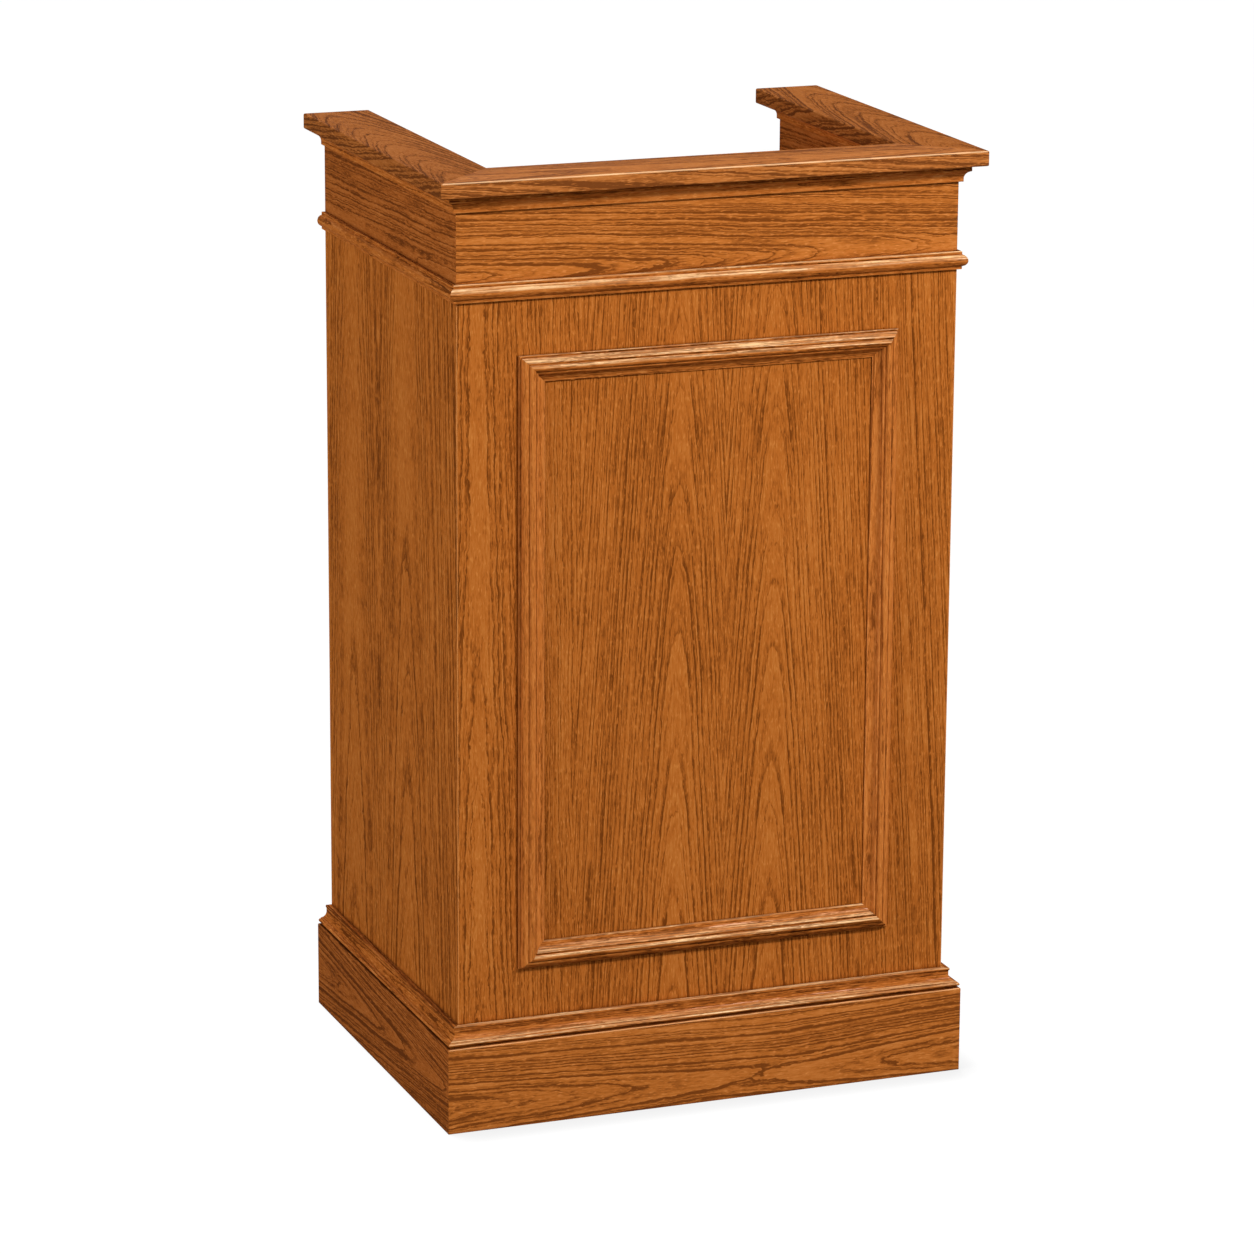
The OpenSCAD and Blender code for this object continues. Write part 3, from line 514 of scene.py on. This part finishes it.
def section_outline(name, points, up=(0, 1), shadowed_above=math.inf):
    """A moulding's section as a closed outline, drawn as (out, up) with the wood on its left. Its points
    carry wear and painted light: faces that look up are paler as a painted highlight, undersides are darker
    as painted shade, and above a given height it is black as a painted shadow."""
    sanded_round, bend_reach = 0.5 * MM, 1.8 * MM
    underside, underside_shade_share, underside_gain, top_highlight_gain = -0.2, 0.32, 1.6, 0.6
    drawn = softened([(x * MM, z * MM) for x, z in points], sanded_round)
    count = len(drawn)
    leans = []
    for k in range(count):
        way = Vector(drawn[(k + 1) % count]) - Vector(drawn[k - 1])
        leans.append(Vector((way.y, -way.x)).normalized().dot(Vector(up)))
    shares = []
    for k, share in enumerate(roundness_shares(drawn, bend_reach)):
        # Undersides are darker as painted shade, and faces that look up are paler as a painted highlight
        under = min(leans[(k + step) % count] for step in (-2, -1, 0, 1, 2))
        if under < underside:
            share += (underside_shade_share - share) * min(1.0, -underside_gain * under)
        shares.append(min(1.0, share + top_highlight_gain * max(0.0, leans[k])))
    # Above the shadowed height the section is painted black as the cap's shadow
    shares = [-1.0 if z > shadowed_above * MM else share for share, (x, z) in zip(shares, drawn)]
    mesh = bpy.data.meshes.new(name)
    edges = [(k, (k + 1) % count) for k in range(count)]
    mesh.from_pydata([(x, -z, 0) for x, z in reversed(drawn)], edges, [])
    worn_and_painted_light = mesh.attributes.new("wear_and_painted_light", "FLOAT", "POINT")
    worn_and_painted_light.data.foreach_set("value", list(reversed(shares)))
    return mesh


def mitred_run_tree():
    """Sweeps a section along a length, cuts its mitres, and turns it into place."""
    tree, given, made = open_group(
        "mitred_run",
        {"Section": "Geometry", "Length": "Float", "Start Mitre": "Float", "End Mitre": "Float",
         "Joint": "Float", "Turn": "Vector", "Place": "Vector", "Finish": "Material"},
        {"Moulding": "Geometry"}, "GeometryNodeTree",
    )
    line = put(tree, "GeometryNodeCurvePrimitiveLine", {}, {"End": joined(tree, given["Length"])})
    upright = put(tree, "GeometryNodeSetCurveNormal", {"mode": "Z_UP"}, {"Curve": line.outputs[0]})
    section = put(tree, "GeometryNodeMeshToCurve", {}, {"Mesh": given["Section"]})
    swept = put(tree, "GeometryNodeCurveToMesh", {}, {
        "Curve": upright.outputs[0], "Profile Curve": section.outputs[0], "Fill Caps": True})
    axes = parted(tree, tree.nodes.new("GeometryNodeInputPosition").outputs[0])
    half = times(tree, given["Length"], 0.5)
    is_end = sums(tree, "GREATER_THAN", axes[0], half)
    is_start = less(tree, 1.0, is_end)
    start_cut = times_plus(tree, axes[1], given["Start Mitre"], given["Joint"])
    end_cut = times_plus(tree, axes[1], given["End Mitre"], given["Joint"])
    mitre = less(tree, times(tree, start_cut, is_start), times(tree, end_cut, is_end))
    mitred = put(tree, "GeometryNodeSetPosition", {}, {
        "Geometry": swept.outputs[0], "Offset": joined(tree, mitre)})
    placed = put(tree, "GeometryNodeTransform", {}, {
        "Geometry": mitred.outputs[0], "Translation": given["Place"], "Rotation": given["Turn"]})
    finished = put(tree, "GeometryNodeSetMaterial", {}, {
        "Geometry": placed.outputs[0], "Material": given["Finish"]})
    tree.links.new(finished.outputs[0], made[0])
    return tree


mitred_run = mitred_run_tree()


def in_scene(name, data):
    piece = bpy.data.objects.new(name, data)
    bpy.context.scene.collection.objects.link(piece)
    return piece


def grown(name, mesh, tree, values, sharp_from=32):
    """Runs a tree on a mesh with named values. The result is a plain piece, whose edges look sharp
    from an angle in degrees."""
    piece = in_scene(name, mesh)
    modifier = piece.modifiers.new("made", "NODES")
    modifier.node_group = tree
    for socket in tree.interface.items_tree:
        if socket.item_type == "SOCKET" and socket.in_out == "INPUT" and socket.name in values:
            modifier[socket.identifier] = values[socket.name]
    bpy.context.view_layer.update()
    evaluated = piece.evaluated_get(bpy.context.evaluated_depsgraph_get())
    result = bpy.data.meshes.new_from_object(evaluated)
    piece.modifiers.remove(modifier)
    piece.data = result
    result.shade_smooth()
    result.set_sharp_from_angle(angle=math.radians(sharp_from))
    return piece


MITRE_JOINT = 0.06 * MM


def side_runs(outline, node_name, finishes):
    """The front, left and right lengths of a moulding that runs round the pulpit at its corners."""
    runs = {
        "front": (2 * side_x, 1.0, 1.0, 0.0, (-side_x, front_y, 0)),
        "left": (back_y - front_y, 0.0, 1.0, -QUARTER, (-side_x, back_y, 0)),
        "right": (back_y - front_y, 1.0, 0.0, QUARTER, (side_x, front_y, 0)),
    }
    for side, (length, start, end, turn, place) in runs.items():
        node = node_name % side
        values = {"Length": length, "Start Mitre": start, "End Mitre": end, "Joint": MITRE_JOINT,
                  "Turn": (0, 0, turn), "Place": place, "Finish": finishes[side]}
        piece = grown(node + "_run", outline, mitred_run, values)
        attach(piece, "root")
        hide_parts(node)


def run_finishes(name, out, z, piece, figure=0.4, wear_and_highlight=0.95, lacquer=0.22):
    """Oak for the three lengths of a moulding, whose grain follows each length. The lengths at the sides show
    stronger lines, and get less wear and painted highlight and no lacquer."""
    side_figure, side_wear_and_highlight, side_lacquer = 1.8 * figure, 0.3 * wear_and_highlight, 0.0
    spots = {
        "front": ("front level", (0, front_y - out * MM, z), figure, wear_and_highlight, lacquer),
        "left": ("side level", (-side_x - out * MM, mid_y, z), side_figure, side_wear_and_highlight, side_lacquer),
        "right": ("side level", (side_x + out * MM, mid_y, z), side_figure, side_wear_and_highlight, side_lacquer),
    }
    finishes = {}
    for k, (side, (lie, middle, lines, run_wear_and_highlight, polish)) in enumerate(spots.items()):
        finishes[side] = oak_finish(
            "oak_%s_%s" % (side, name), lie, middle, piece=piece + k,
            hearts=[heart(across=-14, depth=18 + 5 * k, ring=3.4, taper=0.012, wander=7)],
            stains=MOULDING_STAINS, figure=lines, moulded=True, wear_and_highlight=run_wear_and_highlight, lacquer=polish)
    return finishes


crown_low_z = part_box("front_crown_moulding")[0].z
crown_h = (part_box("front_crown_moulding")[1].z - crown_low_z) / MM
crown_out = (front_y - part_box("front_crown_moulding")[0].y) / MM
crown_low_h, crown_low_out, crown_top_h, crown_hollow_r = 4.5, 4.5, 7.5, 10.0
shade_starts, shade_full = 0.8, 1.6


def crown_outline(face_out, way):
    """The crown's section from the face that it is pinned to, out to one way. Its top fillet has two more
    points, between which the painted shadow under the cap begins."""
    low = Vector((crown_low_out, crown_low_h))
    high = Vector((crown_out, crown_h - crown_top_h))
    chord = high - low
    reach = math.sqrt(crown_hollow_r ** 2 - (chord.length / 2) ** 2) / chord.length
    centre = (low + high) / 2 + Vector((chord.y, -chord.x)) * reach
    start = math.degrees(math.atan2(low.y - centre.y, low.x - centre.x))
    end = math.degrees(math.atan2(high.y - centre.y, high.x - centre.x))
    hollow = arc(centre, crown_hollow_r, start, end, 14)
    points = [(0, 0), (crown_low_out, 0)] + hollow
    points += [(crown_out, high.y + shade_starts), (crown_out, high.y + shade_full)]
    points += [(crown_out, crown_h), (0, crown_h)]
    points = [(face_out + way * x, crown_low_z / MM + z) for x, z in points]
    return points if way > 0 else points[::-1]


crown_mid_z = crown_low_z + crown_h * MM / 2
# Above this height the crown is painted black as the shadow of the cap
shadowed_z = crown_low_z / MM + crown_h - crown_top_h + (shade_starts + shade_full) / 2
crown_section = section_outline("crown_section", crown_outline(0, 1), shadowed_above=shadowed_z)
side_runs(crown_section, "%s_crown_moulding",
          run_finishes("crown", out=8, z=crown_mid_z, piece=51.0, wear_and_highlight=0.2, lacquer=0.3))
frieze_t = (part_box("left_frieze_board")[1].x + side_x) / MM
inner_outline = crown_outline(-frieze_t, -1)
inner_section = section_outline("inner_crown_section", inner_outline, shadowed_above=shadowed_z)
side_runs(inner_section, "%s_inner_crown",
          run_finishes("inner_crown", out=-30, z=crown_mid_z, piece=55.0, wear_and_highlight=0.2, lacquer=0.3))


# Bead moulding: a half round between two fillets, machined from solid oak, mitred round the
# front and pinned over the joint between the frieze and the panels.

bead_low_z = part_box("front_bead_moulding")[0].z
bead_h = (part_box("front_bead_moulding")[1].z - bead_low_z) / MM
bead_out = (front_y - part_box("front_bead_moulding")[0].y) / MM
bead_r, bead_fillet_out = 7.4, 4.7
bead_reach = math.degrees(math.acos((bead_fillet_out - (bead_out - bead_r)) / bead_r))
bead_points = [(0, 0), (bead_fillet_out, 0)]
bead_points += arc((bead_out - bead_r, bead_h / 2), bead_r, -bead_reach, bead_reach, 20)
bead_points += [(bead_fillet_out, bead_h), (0, bead_h)]
bead_points = [(x, bead_low_z / MM + z) for x, z in bead_points]
side_runs(section_outline("bead_section", bead_points), "%s_bead_moulding",
          run_finishes("bead", out=5, z=bead_low_z + bead_h * MM / 2, piece=61.0))


# Front frame: a picture-frame moulding of quarter round, crest bead, small bead and hollow,
# machined from solid oak, mitred in four lengths and pinned to the front panel.

frame_low, frame_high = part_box("frame_bottom_moulding")[0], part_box("frame_top_moulding")[1]
frame_w = (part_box("frame_bottom_moulding")[1].z - frame_low.z) / MM
frame_fillet_t, frame_fillet_w = 3.5, 2.5
ovolo_t, ovolo_r = 11.5, 7.0
crest_t, crest_r = (front_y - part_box("frame_top_moulding")[0].y) / MM, 4.2
small_t, small_r = 11.0, 2.0
frame_inner_t, frame_groove = 2.0, 0.6
ovolo_x = frame_fillet_w + ovolo_r
crest_x = ovolo_x + crest_r + frame_groove
small_x = crest_x + crest_r + small_r - frame_groove
hollow_x = small_x + small_r - frame_groove / 2
crest_start = 179
small_start, small_end = math.degrees(math.acos((crest_x + crest_r - small_x) / small_r)), -20
hollow_w, hollow_h = frame_w - hollow_x, small_t - small_r - frame_inner_t
frame_hollow_r = (hollow_w ** 2 + hollow_h ** 2) / (2 * hollow_h)
hollow_start = math.degrees(math.atan2(hollow_h - frame_hollow_r, -hollow_w)) % 360
frame_points = [(0, 0), (0, frame_fillet_t), (frame_fillet_w, frame_fillet_t)]
frame_points += arc((ovolo_x, ovolo_t - ovolo_r), ovolo_r, 180, 90, 12)
frame_points += [(ovolo_x, ovolo_t - frame_groove)]
frame_points += arc((crest_x, crest_t - crest_r), crest_r, crest_start, 0, 18)
frame_points += arc((small_x, small_t - small_r), small_r, small_start, small_end, 10)
frame_points += arc((frame_w, frame_inner_t + frame_hollow_r), frame_hollow_r, hollow_start, 270, 12)
frame_points += [(frame_w, 0)]
frame_mid_x, frame_mid_z = (frame_low.x + frame_high.x) / 2, (frame_low.z + frame_high.z) / 2
frame_wide, frame_tall = frame_high.x - frame_low.x, frame_high.z - frame_low.z
# Paler stains than the level lengths' of the same moulding: painted light on the upright lengths
UPRIGHT_STAINS = (stain(226, 156, 96), stain(208, 129, 62), stain(190, 109, 45), stain(110, 54, 18))
level_look = {"lie": "front level", "stains": MOULDING_STAINS, "lacquer": 0.2, "wear_and_highlight": 0.9}
upright_look = {"lie": "front upright", "stains": UPRIGHT_STAINS, "lacquer": 0.0, "wear_and_highlight": 0.35}
frame_lengths = {
    "bottom": (frame_wide, frame_tall, (-1, 0), level_look),
    "left": (frame_tall, frame_wide, (0, 0), upright_look),
    "top": (frame_wide, frame_tall, (1, 0), level_look),
    "right": (frame_tall, frame_wide, (0, 0), upright_look),
}
for k, (side, (length, apart, up, look)) in enumerate(frame_lengths.items()):
    turn = Matrix.Rotation(k * QUARTER, 3, "Y")
    corner = turn @ Vector((-length / 2, 0, -apart / 2))
    centre = turn @ Vector((0, 0, -apart / 2 + frame_w * MM / 2))
    finish = oak_finish(
        "oak_frame_" + side, middle=(frame_mid_x + centre.x, front_y, frame_mid_z + centre.z), piece=71.0 + k,
        hearts=[heart(across=-20 + 9 * k, depth=24, ring=3.6, taper=0.010, wander=8)],
        figure=0.7, fibre=1.3, moulded=True, **look)
    outline = section_outline("frame_%s_section" % side, [(-x, z) for x, z in frame_points], up)
    piece = grown("frame_%s_run" % side, outline, mitred_run, {
        "Length": length, "Start Mitre": 1.0, "End Mitre": 1.0, "Joint": MITRE_JOINT,
        "Turn": (QUARTER, k * QUARTER, 0), "Finish": finish,
        "Place": (frame_mid_x + corner.x, front_y, frame_mid_z + corner.z)})
    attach(piece, "root")
    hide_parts("frame_%s_moulding" % side)


# Base: 19 mm solid oak boards, plain-sawn and mitred, screwed on from inside the panels, with a
# moulding on their top edge that has a rounded lip, a hollow and a fillet, over a shadow groove.

base_top_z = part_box("front_base_board")[1].z
base_t = front_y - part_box("front_base_board")[0].y
dress("front_base_board", oak_finish(
    "oak_front_base", "front level", (0, front_y - base_t, base_top_z / 2), piece=81.0,
    hearts=[heart(across=-24, depth=22, ring=6.2, taper=0.036, wander=16),
            heart(across=-30, depth=26, ring=6.2, taper=-0.034, wander=16)],
    stains=SOLID_STAINS, figure=1.5))
for sign, side in SIDES:
    dress(side + "_base_board", oak_finish(
        "oak_%s_base" % side, "side level", (sign * (side_x + base_t), mid_y, base_top_z / 2),
        piece=83.0 + sign, hearts=[heart(across=0, depth=14, ring=6.5, taper=-0.060, wander=14)],
        stains=DEEP_STAINS, figure=1.15, wear_and_highlight=0.3))

lip_out = (front_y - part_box("front_base_moulding")[0].y) / MM
base_mould_h = (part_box("front_base_moulding")[1].z - base_top_z) / MM
groove_h, groove_in, lip_h, step_h, base_hollow_r = 2.4, 3.5, 4.2, 1.2, 8.0
neck_out, top_fillet_h, top_fillet_out = 7.2, 3.0, 8.2
lip_r = lip_h / 2
lip_top = groove_h + lip_h
base_points = [(0, 0), (lip_out - groove_in, 0), (lip_out - groove_in, groove_h)]
base_points += arc((lip_out - lip_r, groove_h + lip_r), lip_r, -90, 90, 12)
base_points += [(neck_out + base_hollow_r, lip_top)]
hollow_mid = (neck_out + base_hollow_r, lip_top + step_h + base_hollow_r)
base_points += arc(hollow_mid, base_hollow_r, 270, 180, 14)
base_points += [(neck_out, base_mould_h - top_fillet_h), (top_fillet_out, base_mould_h - top_fillet_h)]
base_points += [(top_fillet_out, base_mould_h), (0, base_mould_h)]
base_points = [(x, base_top_z / MM + z) for x, z in base_points]
base_mould_mid_z = base_top_z + base_mould_h * MM / 2
side_runs(section_outline("base_moulding_section", base_points), "%s_base_moulding",
          run_finishes("base_moulding", out=10, z=base_mould_mid_z, piece=91.0, figure=0.75))


# Book desk: a sloping veneered board with a rounded stop along its lower edge, on hardwood
# cleats screwed to the panels, and a rail across the open back.

desk_mid = (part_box("desk_board")[0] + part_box("desk_board")[1]) / 2
dress("desk_board", oak_finish(
    "oak_desk", "flat across", desk_mid, piece=101.0,
    hearts=[heart(across=20, depth=40, ring=5.0, taper=0.04, wander=12)]))
dress("book_stop", oak_finish(
    "oak_book_stop", "front level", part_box("book_stop")[0], piece=103.0,
    hearts=[heart(across=0, depth=20, ring=3.4, taper=0.01, wander=6)], stains=SOLID_STAINS))
dress("desk_rail", oak_finish(
    "oak_desk_rail", "front level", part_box("desk_rail")[0], piece=105.0,
    hearts=[heart(across=0, depth=20, ring=4.4, taper=0.02, wander=8)], stains=SOLID_STAINS))


# Shelves: two veneered boards housed in the side panels, each with a strip of solid oak on its
# rear edge, and a toe board under the lower one.

for k, node in enumerate(("bottom_shelf", "middle_shelf")):
    dress(node, oak_finish(
        "oak_" + node, "flat across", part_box(node)[1], piece=111.0 + k,
        hearts=[heart(across=-170, depth=36, ring=5.0, taper=0.03, wander=12)]))
    dress(node + "_edging", oak_finish(
        "oak_%s_edging" % node, "front level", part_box(node + "_edging")[1], piece=115.0 + k,
        hearts=[heart(across=0, depth=22, ring=3.4, taper=0.01, wander=6)], stains=SOLID_STAINS))
dress("toe_board", oak_finish(
    "oak_toe_board", "front level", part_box("toe_board")[1], piece=119.0,
    hearts=[heart(across=-30, depth=30, ring=5.0, taper=0.03, wander=12)]))


# Raw hardwood: the splines, dowels and biscuits inside the joints, the glue blocks behind the base
# boards and the cleats under the desk are beech without any finish.

def raw_beech():
    material, tree, shader = new_material("raw_beech")
    coords = put(tree, "ShaderNodeTexCoord", {}, {}).outputs["Object"]
    clouds = noise(tree, coords, (30, 30, 30), 3)[0]
    flecks = noise(tree, coords, (900, 900, 160), 2)[0]
    tone = times_plus(tree, flecks, 0.6, times(tree, clouds, 0.4))
    colour = blend_colours(tree, ease(tree, tone, 0.35, 0.65), stain(196, 158, 112), stain(222, 190, 146))
    tree.links.new(colour, shader.inputs["Base Color"])
    tree.links.new(times_plus(tree, flecks, 0.2, 0.55), shader.inputs["Roughness"])
    bump = put(tree, "ShaderNodeBump", {}, {"Height": flecks, "Strength": 0.3, "Distance": 0.3 * MM})
    tree.links.new(bump.outputs["Normal"], shader.inputs["Normal"])
    return material


beech = raw_beech()
for node in ("left_corner_spline", "right_corner_spline", "frieze_splines", "frieze_dowels", "cap_biscuits",
             "cap_dowels", "base_glue_blocks", "left_desk_cleat", "right_desk_cleat", "front_desk_cleat",
             "rail_dowels"):
    dress(node, beech)


# Steel fixings: countersunk screws through the panels and cleats, and pins punched under the
# surface of the mouldings, all bright zinc plate.

def zinc_plate():
    material, tree, shader = new_material("zinc_plate")
    coords = put(tree, "ShaderNodeTexCoord", {}, {}).outputs["Object"]
    mottle = noise(tree, coords, (700, 700, 700), 3)[0]
    colour = blend_colours(tree, mottle, stain(168, 170, 176), stain(206, 206, 204))
    tree.links.new(colour, shader.inputs["Base Color"])
    tree.links.new(times_plus(tree, mottle, 0.25, 0.25), shader.inputs["Roughness"])
    shader.inputs["Metallic"].default_value = 1.0
    return material


zinc = zinc_plate()
dress("moulding_pins", zinc)


def screw_places(node, welded=0.01 * MM, rim_depth=0.1 * MM):
    """The middle of each screw's head and the way it faces, from the separate bodies of its node.
    The head is at the body's wider end."""
    merged = bmesh.new()
    merged.from_mesh(boards[node].data)
    bmesh.ops.remove_doubles(merged, verts=merged.verts, dist=welded)
    seen = set()
    places = []
    for first in merged.verts:
        if first in seen:
            continue
        seen.add(first)
        body = [first]
        for vert in body:
            neighbours = [edge.other_vert(vert) for edge in vert.link_edges]
            fresh = [other for other in neighbours if other not in seen]
            seen.update(fresh)
            body.extend(fresh)
        low = Vector([min(v.co[k] for v in body) for k in range(3)])
        high = Vector([max(v.co[k] for v in body) for k in range(3)])
        way = max(range(3), key=lambda k: high[k] - low[k])
        side = (way + 1) % 3
        ends = {}
        for facing, level in ((1, high[way]), (-1, low[way])):
            rim = [v.co[side] for v in body if abs(v.co[way] - level) < rim_depth]
            ends[max(rim) - min(rim)] = (facing, level)
        facing, level = ends[max(ends)]
        head = (low + high) / 2
        head[way] = level
        places.append((head, Vector([facing if k == way else 0 for k in range(3)])))
    merged.free()
    return places


def screw_points(name, places):
    mesh = bpy.data.meshes.new(name)
    mesh.from_pydata([head for head, facing in places], [], [])
    mesh.attributes.new("facing", "FLOAT_VECTOR", "POINT").data.foreach_set(
        "vector", [value for head, facing in places for value in facing])
    return mesh


def countersunk_screws_tree():
    """One countersunk screw with a cross recess and a point, set on each point of the input."""
    tree, given, made = open_group(
        "countersunk_screws",
        {"Places": "Geometry", "Head Radius": "Float", "Shank Radius": "Float", "Length": "Float",
         "Recess Width": "Float", "Recess Depth": "Float", "Finish": "Material"},
        {"Screws": "Geometry"}, "GeometryNodeTree",
    )

    def moved_down(geometry, way):
        shift = joined(tree, z=times(tree, way, -1.0))
        moved = put(tree, "GeometryNodeTransform", {}, {"Geometry": geometry, "Translation": shift})
        return moved.outputs[0]

    def cone(top, bottom, depth):
        inputs = {"Vertices": 32, "Radius Top": top, "Radius Bottom": bottom, "Depth": depth}
        return put(tree, "GeometryNodeMeshCone", {}, inputs).outputs[0]

    cone_h = less(tree, given["Head Radius"], given["Shank Radius"])
    head = moved_down(cone(given["Head Radius"], given["Shank Radius"], cone_h), cone_h)
    long_way = times(tree, given["Head Radius"], 1.15)
    deep = times(tree, given["Recess Depth"], 2.0)
    recess = put(tree, "GeometryNodeMeshBoolean", {"operation": "UNION"}, {})
    for wide, tall in ((long_way, given["Recess Width"]), (given["Recess Width"], long_way)):
        bar = put(tree, "GeometryNodeMeshCube", {}, {"Size": joined(tree, wide, tall, deep)})
        tree.links.new(bar.outputs[0], recess.inputs["Mesh 2"])
    recessed = put(tree, "GeometryNodeMeshBoolean", {"operation": "DIFFERENCE"}, {"Mesh 1": head})
    tree.links.new(recess.outputs[0], recessed.inputs["Mesh 2"])
    point_h = times(tree, given["Shank Radius"], 2.5)
    shank_h = less(tree, less(tree, given["Length"], cone_h), point_h)
    shank = cone(given["Shank Radius"], given["Shank Radius"], shank_h)
    point = cone(given["Shank Radius"], 0.2 * MM, point_h)
    screw = put(tree, "GeometryNodeJoinGeometry", {}, {})
    for part in (recessed.outputs[0], moved_down(shank, sums(tree, "ADD", cone_h, shank_h)),
                 moved_down(point, given["Length"])):
        tree.links.new(part, screw.inputs[0])
    facing = put(tree, "GeometryNodeInputNamedAttribute", {"data_type": "FLOAT_VECTOR"}, {"Name": "facing"})
    turned = put(tree, "FunctionNodeAlignRotationToVector", {"axis": "Z"}, {"Vector": facing.outputs[0]})
    placed = put(tree, "GeometryNodeInstanceOnPoints", {}, {
        "Points": given["Places"], "Instance": screw.outputs[0], "Rotation": turned.outputs[0]})
    real = put(tree, "GeometryNodeRealizeInstances", {}, {"Geometry": placed.outputs[0]})
    finished = put(tree, "GeometryNodeSetMaterial", {}, {
        "Geometry": real.outputs[0], "Material": given["Finish"]})
    tree.links.new(finished.outputs[0], made[0])
    return tree


countersunk_screws = countersunk_screws_tree()
screw_values = {"Head Radius": 4 * MM, "Shank Radius": 2 * MM, "Length": 32 * MM, "Recess Width": 0.9 * MM,
                "Recess Depth": 1.3 * MM, "Finish": zinc}
for node in ("base_screws", "cleat_screws"):
    points = screw_points(node + "_places", screw_places(node))
    piece = grown(node + "_made", points, countersunk_screws, screw_values)
    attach(piece, "root")
    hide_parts(node)


# Studio: an even sky, a pale floor that looks white with a faint shadow before the base, a lamp at
# the front right, broader ones at the left and behind, and a card overhead that only the lacquer
# shows. The camera has the photograph's viewing angle.

def seen_directly(tree):
    """1 for what the camera sees, also in gloss and through glass, and 0 for light on the object."""
    rays = put(tree, "ShaderNodeLightPath", {}, {}).outputs
    seen = sums(tree, "MAXIMUM", rays["Is Camera Ray"], rays["Is Glossy Ray"])
    return sums(tree, "MAXIMUM", seen, rays["Is Transmission Ray"])


world = bpy.data.worlds.new("studio")
bpy.context.scene.world = world
world.use_nodes = True
sky = world.node_tree
backdrop = sky.nodes["Background"]
backdrop.inputs["Color"].default_value = (1, 1, 1, 1)
backdrop.inputs["Strength"].default_value = 0.2
white = put(sky, "ShaderNodeBackground", {}, {"Color": (1, 1, 1, 1), "Strength": 1.0})
either = put(sky, "ShaderNodeMixShader", {}, {
    0: seen_directly(sky), 1: backdrop.outputs[0], 2: white.outputs[0]})
sky.links.new(either.outputs[0], sky.nodes["World Output"].inputs["Surface"])


def floor_piece(half, shadow_reach=50 * MM):
    """A level square, shaded where the object stands close, and most in front of it."""
    mesh = bpy.data.meshes.new("studio_floor")
    corners = [(-half, -half, 0), (half, -half, 0), (half, half, 0), (-half, half, 0)]
    mesh.from_pydata(corners, [], [(0, 1, 2, 3)])
    piece = in_scene("studio_floor", mesh)
    material, tree, shader = new_material("pale_floor")
    shader.inputs["Base Color"].default_value = (0.25, 0.25, 0.25, 1)
    shader.inputs["Roughness"].default_value = 0.9
    behind = joined(tree, -0.55, 0.75, 0.37)
    around = {"Distance": shadow_reach, "Normal": behind}
    clear = put(tree, "ShaderNodeAmbientOcclusion", {"samples": 12}, around).outputs["AO"]
    clear = ease(tree, clear, 0.45, 0.95)
    shadow, clearing, glow = 0.96, 0.17, 0.88
    lit = times_plus(tree, clear, clearing, shadow)
    bright = put(tree, "ShaderNodeEmission", {}, {"Color": (1, 1, 1, 1), "Strength": lit})
    share = times(tree, seen_directly(tree), glow)
    mixed = put(tree, "ShaderNodeMixShader", {}, {0: share, 1: shader.outputs[0], 2: bright.outputs[0]})
    tree.links.new(mixed.outputs[0], tree.nodes["Material Output"].inputs["Surface"])
    mesh.materials.append(material)
    return piece


floor_piece(half=40.0)


def soft_lamp(name, place, aim, size, power, lights_colour=True):
    data = bpy.data.lights.new(name, "AREA")
    data.shape = "DISK"
    data.size = size
    data.energy = power
    lamp = in_scene(name, data)
    lamp.location = place
    lamp.rotation_euler = (Vector(aim) - Vector(place)).to_track_quat("-Z", "Y").to_euler()
    lamp.visible_diffuse = lights_colour


soft_lamp("right_lamp", (2.07, -3.23, 3.27), aim=(0, -0.1, 0.6), size=0.55, power=182)
soft_lamp("left_lamp", (-3.8, -1.25, 1.8), aim=(0, -0.1, 0.6), size=2.2, power=87)
soft_lamp("rear_lamp", (0.3, 4.2, 3.4), aim=(0, 0.1, 0.7), size=1.6, power=150)
soft_lamp("upper_card", (0.6, -1.6, 5.2), aim=(0, -0.1, 0.8), size=0.9, power=300, lights_colour=False)

eye = Vector((-2.2480, -5.8118, 2.2136))
yaw, pitch, roll = 0.3671, 0.2621, 0.0060
lens = bpy.data.cameras.new("view")
lens.sensor_width = 36.0
lens.lens = 147.9
lens.clip_end = 200.0
camera = in_scene("view", lens)
turned = Matrix.Rotation(-yaw, 4, "Z") @ Matrix.Rotation(QUARTER - pitch, 4, "X")
camera.matrix_world = Matrix.Translation(eye) @ turned @ Matrix.Rotation(roll, 4, "Z")
bpy.context.scene.camera = camera
bpy.context.scene.view_settings.view_transform = "Standard"
